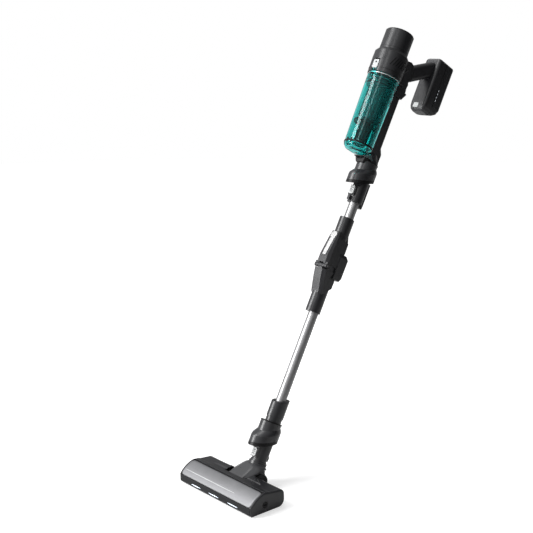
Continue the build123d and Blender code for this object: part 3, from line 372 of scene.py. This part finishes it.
# ---- floor head ----
def brush_fibres():
    """Tufts of stiff fibre in four twisted rows round the brush."""
    made = bmesh.new()
    axis_y, axis_z, low, high = -20.0, 19.5, 11.3, 18.3
    rows, tufts, strands, half_run, twist = 4, 168, 5, 103.5, 150.0
    for row in range(rows):
        for step in range(tufts):
            share = step / (tufts - 1)
            x = -half_run + 2 * half_run * step / (tufts - 1)
            middle = math.radians(90.0 * row + twist * share + 90)
            for strand in range(strands):
                lean = math.sin(step * 12.9898 + strand * 78.233 + row * 37.7)
                turn = middle + (strand - 2) * 0.045
                tip = turn + 0.06 * lean
                reach = high - 0.5 * abs(lean)
                c, s = math.cos(turn), math.sin(turn)
                y, z = axis_y + low * c, axis_z + low * s
                root = ring_of(made, [head(x - 0.28, y - 0.25 * s, z + 0.25 * c),
                                      head(x + 0.28, y - 0.25 * s, z + 0.25 * c),
                                      head(x, y + 0.3 * s, z - 0.3 * c)])
                point = made.verts.new(head(x + 0.35 * lean, axis_y + reach * math.cos(tip),
                                            axis_z + reach * math.sin(tip)))
                made.faces.new(root)
                for i in range(3):
                    made.faces.new((root[i], root[(i + 1) % 3], point))
    piece("brush_fibres", made, "brush", "bristle", ("brush_bristles",), smooth=False)


# the roller cover's arc, as (y, z) at its front edge, its middle and its top edge
COVER_FRONT, COVER_MIDDLE, COVER_TOP = (-48.0, 23.0), (-33.0, 37.6), (-8.5, 48.3)


def circle_centre(a, b, c):
    """Centre of the circle through three points."""
    (ax, ay), (bx, by), (cx, cy) = a, b, c
    aa, bb, cc = ax ** 2 + ay ** 2, bx ** 2 + by ** 2, cx ** 2 + cy ** 2
    d = 2 * (ax * (by - cy) + bx * (cy - ay) + cx * (ay - by))
    return ((aa * (by - cy) + bb * (cy - ay) + cc * (ay - by)) / d,
            (aa * (cx - bx) + bb * (ax - cx) + cc * (bx - ax)) / d)


ARC_Y, ARC_Z = circle_centre(COVER_FRONT, COVER_MIDDLE, COVER_TOP)
ARC_R = math.hypot(COVER_TOP[0] - ARC_Y, COVER_TOP[1] - ARC_Z)
ARC_START = math.atan2(COVER_FRONT[1] - ARC_Z, COVER_FRONT[0] - ARC_Y)
ARC_STOP = math.atan2(COVER_TOP[1] - ARC_Z, COVER_TOP[0] - ARC_Y)


def on_arc(x, r, turn):
    """A point at radius r and angle turn about the cover's arc centre."""
    return head(x, ARC_Y + r * math.cos(turn), ARC_Z + r * math.sin(turn))


def cover_height(y):
    """Height of the roller cover's arc at y."""
    return ARC_Z + math.sqrt(max(ARC_R ** 2 - (y - ARC_Y) ** 2, 0.0))


def cover_panel():
    """Silver panel over the roller: rounded at its four corners, with thin sunk edges."""
    made = bmesh.new()
    across, along, half, corner, thick = 96, 34, 128.6, 9.0, 2.0
    length = ARC_R * abs(ARC_START - ARC_STOP)
    layers = []
    for outer in (True, False):
        grid = []
        for j in range(along + 1):
            share = j / along
            run = length * share
            edge = min(run, length - run)
            pull = corner - math.sqrt(max(corner ** 2 - max(corner - edge, 0) ** 2, 0))
            turn = ARC_START + (ARC_STOP - ARC_START) * share
            row = []
            for i in range(across + 1):
                x = (half - pull) * (2 * i / across - 1)
                side = min(half - pull - abs(x), edge)
                sink = 0.9 * max(0.0, 1 - side / 1.6) ** 2
                row.append(made.verts.new(on_arc(x, ARC_R - (sink if outer else thick), turn)))
            grid.append(row)
        layers.append(grid)
    top, low = layers
    for j in range(along):
        for i in range(across):
            made.faces.new((top[j][i], top[j][i + 1], top[j + 1][i + 1], top[j + 1][i]))
            made.faces.new((low[j][i], low[j + 1][i], low[j + 1][i + 1], low[j][i + 1]))
    for i in range(across):
        made.faces.new((top[0][i], low[0][i], low[0][i + 1], top[0][i + 1]))
        made.faces.new((top[along][i + 1], low[along][i + 1], low[along][i], top[along][i]))
    for j in range(along):
        made.faces.new((top[j][0], top[j + 1][0], low[j + 1][0], low[j][0]))
        made.faces.new((top[j + 1][across], top[j][across], low[j][across], low[j + 1][across]))
    piece("roller_cover_panel", made, "floor_head", "silver_cover", ("head_roller_cover",))


def cover_bed():
    """Dark bed that shows round the silver panel's corners."""
    made = bmesh.new()
    rings, steps, half = [], 24, 128.9
    high, low = ARC_R - 0.75, ARC_R - 2.5
    for i in range(steps + 1):
        turn = ARC_START + (ARC_STOP - ARC_START) * i / steps
        rings.append(ring_of(made, [on_arc(x, r, turn)
                                    for x, r in ((-half, high), (half, high), (half, low), (-half, low))]))
    skin(made, rings)
    piece("roller_cover_bed", made, "floor_head", "black_plastic", smooth=False)


def cover_crease_highlight():
    """Thin raised pale line along the silver panel, tapered at both ends: the painted highlight of a crease
    in the panel.
    """
    made = bmesh.new()
    rings, steps, y = [], 60, -37.4
    left, length = -122.0, 184.0
    for i in range(steps + 1):
        x = left + length * i / steps
        taper = min(1.0, 0.25 + 4 * min(i, steps - i) / steps)
        rings.append(ring_of(made, [head(x, y - taper, cover_height(y - taper) - 0.4),
                                    head(x, y - 0.5 * taper, cover_height(y - 0.5 * taper) + 0.5),
                                    head(x, y + 0.5 * taper, cover_height(y) + 0.65),
                                    head(x, y + taper, cover_height(y + taper) - 0.4)]))
    skin(made, rings)
    # pale colour here is a painted highlight along the crease
    piece("cover_crease_painted_highlight", made, "floor_head", "button_white", smooth=False)


def strip_behind_cover():
    """Gloss black strip laid in the groove between the silver panel and the rear housing; its black paints
    the groove's shade.
    """
    made = bmesh.new()
    rings = []
    half, steps = 128.6, 48
    for i in range(steps + 1):
        x = -half + 2 * half * i / steps
        rings.append(ring_of(made, [head(x, -8.3, 47.5), head(x, -5.5, 47.35), head(x, -2.75, 46.9),
                                    head(x, -2.75, 45.9), head(x, -8.3, 45.9)]))
    skin(made, rings)
    # black strip stands in for the shade inside the groove
    piece("cover_groove_painted_shade", made, "floor_head", "gloss_black", smooth=False)


def nose_lamps():
    """Dark bezels across the nose with a slim pointed lens in each."""
    bezel, lens = bmesh.new(), bmesh.new()
    for x in (-68.0, 0.0, 68.0):
        rings = []
        for grow, y in ((0.0, -47.6), (0.0, -48.3), (-0.5, -48.42)):
            ring = []
            for i in range(40):
                turn = 2 * math.pi * i / 40
                c, s = math.cos(turn), math.sin(turn)
                ring.append(head(x + math.copysign(15.0, c) + (3.0 + grow) * c, y, 9.0 + (3.0 + grow) * s))
            rings.append(ring_of(bezel, ring))
        skin(bezel, rings)
        rings = []
        for grow, y in ((0.0, -48.36), (-0.25, -48.68)):
            ring = []
            for i in range(48):
                turn = 2 * math.pi * i / 48
                c, s = math.cos(turn), math.sin(turn)
                ring.append(head(x + (19.0 + grow) * c, y, 10.0 + (1.0 + grow) * s * (1 - 0.6 * c * c)))
            rings.append(ring_of(lens, ring))
        skin(lens, rings)
    piece("lamp_bezels", bezel, "floor_head", "gloss_black", smooth=False)
    piece("lamp_lenses", lens, "floor_head", "lamp", ("headlights",), smooth=False)


# the saddle's cross-sections, front to back: y, half width at foot and crest, height of foot and crest
SADDLE_STATIONS = (
    (14.8, 24.6, 22.5, 39.2, 42.4),
    (16.5, 25.6, 22.6, 39.6, 43.6),
    (28.0, 30.6, 21.4, 41.2, 47.6),
    (42.0, 35.0, 19.6, 43.0, 52.4),
    (56.0, 36.6, 18.0, 43.4, 57.4),
    (66.0, 36.9, 17.0, 43.4, 60.4),
    (76.0, 36.6, 16.4, 43.0, 60.6),
    (84.0, 34.8, 15.4, 43.0, 58.0),
    (90.0, 30.0, 13.4, 44.0, 53.4),
    (93.0, 24.0, 11.0, 45.0, 49.6),
)
FENDER_FROM = 60  # behind this y the sides bulge over the wheels


def hood():
    """Smooth saddle over the yoke, with a raised spine and flared fenders over the wheels."""
    made = bmesh.new()
    rings = []
    for y, foot, crest, low, high in SADDLE_STATIONS:
        rise = high - low
        middle, upper = (0.52, 0.82) if y < FENDER_FROM else (0.68, 0.90)
        profile = [(-foot, low), (-foot + 0.6, low + 0.16 * rise), (-foot + 2.2, low + 0.30 * rise),
                   (-0.55 * foot - 0.45 * crest, low + middle * rise), (-crest - 2.6, low + upper * rise),
                   (-crest, low + 0.93 * rise), (-crest * 0.72, high - 0.01 * rise), (-crest * 0.35, high),
                   (0, high + 0.1)]
        profile += [(-x, z) for x, z in reversed(profile[:-1])]
        under = [(foot - 2.0, low - 0.2), (foot * 0.4, low - 0.4)]
        under += [(-x, z) for x, z in reversed(under)]
        rings.append(ring_of(made, [head(x, y, z) for x, z in profile + under]))
    skin(made, rings)
    # the saddle takes the lighter copy of the grey plastic: painted light
    obj = piece("yoke_saddle", made, "yoke", "grey_plastic", ("yoke_hood",), levels=2, material=SADDLE_PAINTED_LIGHT)
    carve(obj, room_in_hood())


def room_in_hood():
    """The room that the neck and the yoke's air drum need inside the saddle."""
    made = bmesh.new()
    neck_r, drum_r, drum_half, count = 22.3, 25.3, 60, 64
    skin(made, [ring_of(made, super_ring(wand, neck_r, -neck_r, neck_r, z, 2.0, count)) for z in (-34, 60)])
    turns = [2 * math.pi * i / count for i in range(count)]
    skin(made, [ring_of(made, [head(x, 71.4 + drum_r * math.cos(t), 23.4 + drum_r * math.sin(t))
                               for t in turns]) for x in (-drum_half, drum_half)])
    return made


def carve(obj, cutter):
    """Cuts a closed shape out of a piece and keeps the result as its mesh."""
    bmesh.ops.recalc_face_normals(cutter, faces=cutter.faces)
    mesh = bpy.data.meshes.new("cutter")
    cutter.to_mesh(mesh)
    cutter.free()
    tool = bpy.data.objects.new("cutter", mesh)
    bpy.context.scene.collection.objects.link(tool)
    change = obj.modifiers.new("cut", "BOOLEAN")
    change.operation = "DIFFERENCE"
    change.solver = "EXACT"
    change.object = tool
    change.use_self = True
    bpy.context.view_layer.update()
    seen = obj.evaluated_get(bpy.context.evaluated_depsgraph_get())
    result = bpy.data.meshes.new_from_object(seen)
    obj.modifiers.clear()
    obj.data = result
    bpy.data.objects.remove(tool)


def sole_details():
    """Felt strip on each side under the sole."""
    made = bmesh.new()
    for side in (-1, 1):
        bar(made, head, (side * 60, 38.0, 0.9), (side * 118, 38.0, 0.9), 0.9, 5.0, (0, 0, 1))
    piece("sole_felt", made, "floor_head", "filter_media", smooth=False, bevel=0.3)


# ---- dust bin: turned profiles as (radius, z) ----
SHROUD_RIMS = (
    [(28.2, 1013.6), (37.6, 1013.6), (38.0, 1012.6), (37.6, 1011.6), (28.2, 1011.6)],
    [(28.2, 1002.6), (37.4, 1002.6), (37.9, 1001.4), (37.4, 1000.2), (28.2, 1000.2)],
    [(24.2, 911.0), (32.8, 906.2), (33.8, 903.6), (33.2, 899.6), (31.8, 899.4), (31.6, 903.0), (24.0, 906.0)],
)
DUST_TUBE = [(17.4, 903.0), (16.2, 888.0), (14.0, 850.0), (15.8, 845.4), (12.6, 845.4), (11.4, 850.0),
             (13.4, 888.0), (14.2, 903.0)]


def bin_insides():
    """Louvred shroud with its flanges and lip, and the dust tube with its vanes."""
    made = bmesh.new()
    count, r = 22, 27.5
    for i in range(count):
        turn = 2 * math.pi * (i + 0.5) / count
        c, s = math.cos(turn), math.sin(turn)
        x, y = r * c, MOTOR_Y + r * s
        bar(made, wand, (x, y, 916), (x, y, 994), 1.3, 1.4, (-s, c, 0))
    piece("shroud_louvres", made, "dust_bin", "shroud_grey", smooth=False, bevel=0.3)
    made = bmesh.new()
    for profile in SHROUD_RIMS:
        bore(made, wand, profile, MOTOR_Y)
    piece("shroud_flanges", made, "dust_bin", "black_plastic")
    made = bmesh.new()
    bore(made, wand, DUST_TUBE, MOTOR_Y)
    vanes, low_r, high_r = 6, 16.6, 18.8
    for i in range(vanes):
        turn = 2 * math.pi * (i + 0.3) / vanes
        c, s = math.cos(turn), math.sin(turn)
        bar(made, wand, (low_r * c, MOTOR_Y + low_r * s, 852), (high_r * c, MOTOR_Y + high_r * s, 901),
            1.0, 3.6, (-s, c, 0))
    piece("dust_tube", made, "dust_bin", "black_plastic", replaced=("cyclone_cone",), bevel=0.3)


def bin_rims():
    """Pale rim round the cup's mouth, and the door's gasket, hinge and clip."""
    made = bmesh.new()
    bore(made, wand, [(40.9, 1026.2), (41.35, 1025.6), (41.35, 1024.6), (40.8, 1024.0)], MOTOR_Y)
    piece("cup_mouth_rim", made, "dust_bin", "aluminium", material=BRIGHT)
    made = bmesh.new()
    bore(made, wand, [(36.3, 846.4), (37.5, 846.0), (37.7, 844.0), (37.3, 842.0), (36.2, 841.7)], MOTOR_Y)
    piece("door_gasket", made, "dust_bin", "black_plastic")
    made = bmesh.new()
    for x in (-9.0, 9.0):
        bar(made, wand, (x, MOTOR_Y + 36.9, 838.5), (x, MOTOR_Y + 38.6, 852.0), 5.0, 2.2)
    for x in (-6.0, 6.0):
        bar(made, wand, (x, MOTOR_Y - 37.0, 838.6), (x, MOTOR_Y - 38.2, 850.0), 4.0, 2.0)
    piece("door_hinge_clip", made, "dust_bin", "black_plastic", smooth=False, bevel=0.5)


# ---- main unit ----
RING_R = 44.0
LATCH_GAP = 22  # degrees left open each side of the latch in the ring's seam
CAP_R = 36.55


def ring_of_slots():
    """Black slanted strips half sunk in the sides of the motor ring, painted as the shade inside its vents.
    """
    made = bmesh.new()
    per_side, first, step, half_run, slant, r = 6, -36, 10.0, 13.0, math.radians(24), RING_R + 0.12
    for side in (-1, 1):
        for i in range(per_side):
            turn = math.radians(first + step * i)
            rings = []
            for share in (-1, -0.8, -0.4, 0, 0.4, 0.8, 1):
                run = half_run * share
                lead = turn * side + math.sin(slant * side) * run / RING_R * side
                px, py = r * math.cos(lead) * side, r * math.sin(lead) * side
                wide = 1.5 * math.sqrt(max(1 - share ** 4, 0.02))
                across = Vector((-py, px, 0)).normalized() * wide
                centre = Vector((px, MOTOR_Y + py, 1062 + math.cos(slant * side) * run))
                out = Vector((px, py, 0)).normalized() * 0.35
                corners = (centre - across - out, centre - across + out * 0.3,
                           centre + across + out * 0.3, centre + across - out)
                rings.append(ring_of(made, [wand(*point) for point in corners]))
            skin(made, rings)
    # the black strips paint the shade inside the vent slits
    piece("ring_vents_painted_shade", made, "main_unit", "black_plastic", smooth=False)


def seams():
    """Fine dark parting lines round the motor cap and the ring."""
    made = bmesh.new()
    r, fine = CAP_R, 0.3
    for z in (1146.2, 1100.4):
        bore(made, wand, [(r - fine, z - fine), (r + 0.04, z - fine), (r + 0.04, z + fine),
                          (r - fine, z + fine)], MOTOR_Y, 96)
    profile = ((43.6, 1038.2), (44.06, 1038.2), (44.06, 1038.8), (43.6, 1038.8))
    rings, steps = [], 96
    for i in range(steps + 1):
        turn = math.radians(-90 + LATCH_GAP + (360 - 2 * LATCH_GAP) * i / steps)
        rings.append(ring_of(made, [wand(r * math.cos(turn), MOTOR_Y + r * math.sin(turn), z)
                                    for r, z in profile]))
    skin(made, rings)
    piece("cap_seams", made, "main_unit", "black_plastic")


def battery_marks():
    """Four charge lamps down the battery's side, its finger ribs, and a black strip beside it painted as the
    shade of the gap.
    """
    made = bmesh.new()
    outline = ((-1, -0.7), (-0.5, -1), (0.5, -1), (1, -0.7), (1, 0.7), (0.5, 1), (-0.5, 1), (-1, 0.7))
    for i in range(4):
        z = 1054.0 + 9.0 * i
        skin(made, [ring_of(made, [wand(x, 122.2 + s * (0.8 - shrink), z + t * (2.6 - shrink))
                                   for s, t in outline]) for x, shrink in ((25.9, 0.0), (26.18, 0.25))])
    piece("charge_lamps", made, "battery", "lamp", material=GLOW_SOFT)
    # black strip laid on the surface beside the battery: painted shade of the gap between battery and body
    made = bmesh.new()
    inner, outer, front, back = 25.2, 26.12, 117.6, 119.5
    for side in (-1, 1):
        rings = []
        for z, pull in ((1034.0, 1.2), (1038.0, 0.0), (1151.0, 0.0), (1153.5, 0.8)):
            corners = ((inner, front + pull), (outer, front + pull), (outer, back), (inner, back))
            rings.append(ring_of(made, [wand(side * x, y, z) for x, y in corners]))
        skin(made, rings)
    piece("battery_gap_painted_shade", made, "main_unit", "black_plastic", smooth=False)
    made = bmesh.new()
    for side in (-1, 1):
        for i in range(7):
            z = 1108.0 + 4.4 * i
            bar(made, wand, (side * 26.0, 130.0, z), (side * 26.0, 146.0, z), 1.6, 0.8, (0, 0, 1))
    piece("battery_grip_ribs", made, "battery", "charcoal_plastic", smooth=False, bevel=0.25)


UPPER_SOCKET = 682.0  # how much higher the upper socket is than the lower one


def collar_lips():
    """Dark lip round the top of each socket's neck."""
    for name, lift, body in (("lower_collar_lip", 0.0, "lower_wand"),
                             ("upper_collar_lip", UPPER_SOCKET, "main_unit")):
        made = bmesh.new()
        rings = []
        for z, a, b in ((135.4, 24.7, 28.2), (136.2, 25.4, 28.9), (137.8, 25.4, 28.9), (138.3, 25.0, 28.5),
                        (138.3, 23.5, 27.0), (135.6, 23.5, 27.0)):
            rings.append(ring_of(made, super_ring(wand, a, -4.5 - b, -4.5 + b, z + lift, 2.0, 64)))
        rings.append(rings[0])
        skin(made, rings, cap=False)
        piece(name, made, body, "black_plastic")


def rest_lip():
    """Dark lip of the bin rest, just below the bin's domed floor."""
    made = bmesh.new()
    bar(made, wand, (0, -46.0, 823.2), (0, -30.0, 823.2), 27.0, 2.8)
    piece("rest_lip", made, "main_unit", "black_plastic", smooth=False, bevel=0.6)


def latch_dot():
    """Dark dot in the bin latch."""
    made = bmesh.new()
    r, count = 2.35, 32
    skin(made, [ring_of(made, [wand(r * math.cos(2 * math.pi * i / count), MOTOR_Y + y,
                                    1050 + r * math.sin(2 * math.pi * i / count)) for i in range(count)])
                for y in (-43.9, -43.45)])
    piece("latch_dot", made, "bin_latch_body", "black_plastic", smooth=False)


def button_ribs():
    """Dark finger ribs across both wand buttons."""
    for name, middle, body in (("neck_button_ribs", 57.8, "neck_release"),
                               ("wand_button_ribs", 740.8, "wand_release")):
        made = bmesh.new()
        for i in (-1, 0, 1):
            z = middle + 4.6 * i
            bar(made, wand, (-4.6, -26.0, z), (4.6, -26.0, z), 1.3, 0.5, (0, 0, 1))
        piece(name, made, body, "black_plastic", smooth=False, bevel=0.2)


hose()
brush_fibres()
cover_panel()
cover_bed()
cover_crease_highlight()
strip_behind_cover()
nose_lamps()
hood()
sole_details()
bin_insides()
bin_rims()
ring_of_slots()
seams()
battery_marks()
collar_lips()
latch_dot()
button_ribs()
rest_lip()

# ---- camera, light and floor ----
EYE = Vector((1.7494, -1.4206, 1.0422))
AHEAD = Vector((-0.7341, 0.6447, -0.2133)).normalized()
LENS, SENSOR = 69.1, 36.0
camera = bpy.data.objects.new("camera", bpy.data.cameras.new("camera"))
bpy.context.scene.collection.objects.link(camera)
camera.location = EYE
camera.rotation_euler = AHEAD.to_track_quat("-Z", "Y").to_euler()
camera.data.lens = LENS
camera.data.sensor_width = SENSOR
bpy.context.scene.camera = camera

RIGHT = AHEAD.cross(Vector((0, 0, 1))).normalized()
UP = RIGHT.cross(AHEAD)
MIDDLE = (cad_low + cad_high) / 2


def lamp(name, side, up, back, width, height, power):
    """A soft rectangular light, placed by how far it stands right of, above and behind the object."""
    light = bpy.data.lights.new(name, "AREA")
    light.shape = "RECTANGLE"
    light.size, light.size_y, light.energy = width, height, power
    made = bpy.data.objects.new(name, light)
    bpy.context.scene.collection.objects.link(made)
    made.location = MIDDLE + RIGHT * side + UP * up + AHEAD * back
    made.rotation_euler = (MIDDLE - made.location).to_track_quat("-Z", "Y").to_euler()
    return made


lamp("key", -2.0, 0.8, -0.7, 1.0, 2.4, 90.0)
lamp("front", -0.6, 1.2, -2.2, 0.5, 1.6, 7.0)
lamp("top", -0.8, 2.2, -0.1, 1.6, 0.9, 22.0)
lamp("edge", 1.5, 0.5, 1.3, 0.25, 1.9, 1.2)


def seen_directly(tree, ray):
    """1 for rays from the camera and for rays through the clear bin, 0 for the others."""
    made = node(tree, "ShaderNodeMath", _operation="MAXIMUM")
    link(tree, ray.outputs["Is Camera Ray"], made.inputs[0])
    link(tree, ray.outputs["Is Transmission Ray"], made.inputs[1])
    return made.outputs[0]


def times(tree, first, second):
    """Product of two sockets."""
    made = node(tree, "ShaderNodeMath", _operation="MULTIPLY")
    link(tree, first, made.inputs[0])
    link(tree, second, made.inputs[1])
    return made.outputs[0]


def studio():
    """White backdrop; the light it gives is a soft gradient, brightest above on the left."""
    world = bpy.data.worlds.new("studio")
    bpy.context.scene.world = world
    world.use_nodes = True
    sky = world.node_tree
    sky.nodes.clear()
    facing = node(sky, "ShaderNodeTexCoord")
    toward = node(sky, "ShaderNodeVectorMath", _operation="DOT_PRODUCT")
    link(sky, facing.outputs["Generated"], toward.inputs[0])
    toward.inputs[1].default_value = tuple((-RIGHT * 0.75 + UP * 0.55 - AHEAD * 0.35).normalized())
    level = ranged(sky, toward.outputs["Value"], -0.4, 1.0, 0.03, 0.55)
    ray = node(sky, "ShaderNodeLightPath")
    boost = ranged(sky, ray.outputs["Is Glossy Ray"], 0.0, 1.0, 1.0, 2.2)
    lit = node(sky, "ShaderNodeBackground")
    link(sky, times(sky, level, boost), lit.inputs["Strength"])
    backdrop = node(sky, "ShaderNodeBackground", Strength=1.0)
    backdrop.inputs["Color"].default_value = (1, 1, 1, 1)
    choose = node(sky, "ShaderNodeMixShader")
    link(sky, seen_directly(sky, ray), choose.inputs[0])
    link(sky, lit.outputs[0], choose.inputs[1])
    link(sky, backdrop.outputs[0], choose.inputs[2])
    sky_out = node(sky, "ShaderNodeOutputWorld")
    link(sky, choose.outputs[0], sky_out.inputs[0])


studio()
bpy.context.scene.view_settings.view_transform = "Standard"


def floor():
    """A large pale round floor that fades into the background."""
    made = bmesh.new()
    count = 48
    rings = [[made.verts.new((0.0, 0.2, -0.0006))]]
    for radius in (0.4, 0.8, 1.6, 3.2, 7.0):
        turns = [2 * math.pi * i / count for i in range(count)]
        rings.append([made.verts.new((radius * math.cos(t), radius * math.sin(t) + 0.2, -0.0006))
                      for t in turns])
    for inner, outer in zip(rings, rings[1:]):
        for i in range(count):
            j = (i + 1) % count
            if len(inner) == 1:
                made.faces.new((inner[0], outer[i], outer[j]))
            else:
                made.faces.new((inner[i], outer[i], outer[j], inner[j]))
    mesh = bpy.data.meshes.new("floor")
    made.to_mesh(mesh)
    made.free()
    obj = bpy.data.objects.new("floor", mesh)
    bpy.context.scene.collection.objects.link(obj)
    pale, tree, shader = blank("pale_floor")
    shader.inputs["Roughness"].default_value = 0.7
    shader.inputs["Specular IOR Level"].default_value = 0.2
    shader.inputs["Emission Color"].default_value = (1, 1, 1, 1)
    place = node(tree, "ShaderNodeTexCoord")
    away = node(tree, "ShaderNodeVectorMath", _operation="LENGTH")
    link(tree, place.outputs["Object"], away.inputs[0])
    fade = ranged(tree, away.outputs["Value"], 0.15, 1.3, 0.62, 0.96)
    ray = node(tree, "ShaderNodeLightPath")
    spill = ranged(tree, seen_directly(tree, ray), 0.0, 1.0, 0.12, 1.0)
    link(tree, times(tree, fade, spill), shader.inputs["Emission Strength"])
    tone = mixed(tree, grain(tree, 5.0), (0.52, 0.52, 0.52), (0.55, 0.55, 0.55))
    link(tree, tone, shader.inputs["Base Color"])
    mesh.materials.append(pale)


floor()
for name in ("bin_cup", "bin_door"):
    frame["nodes"][name].visible_shadow = False
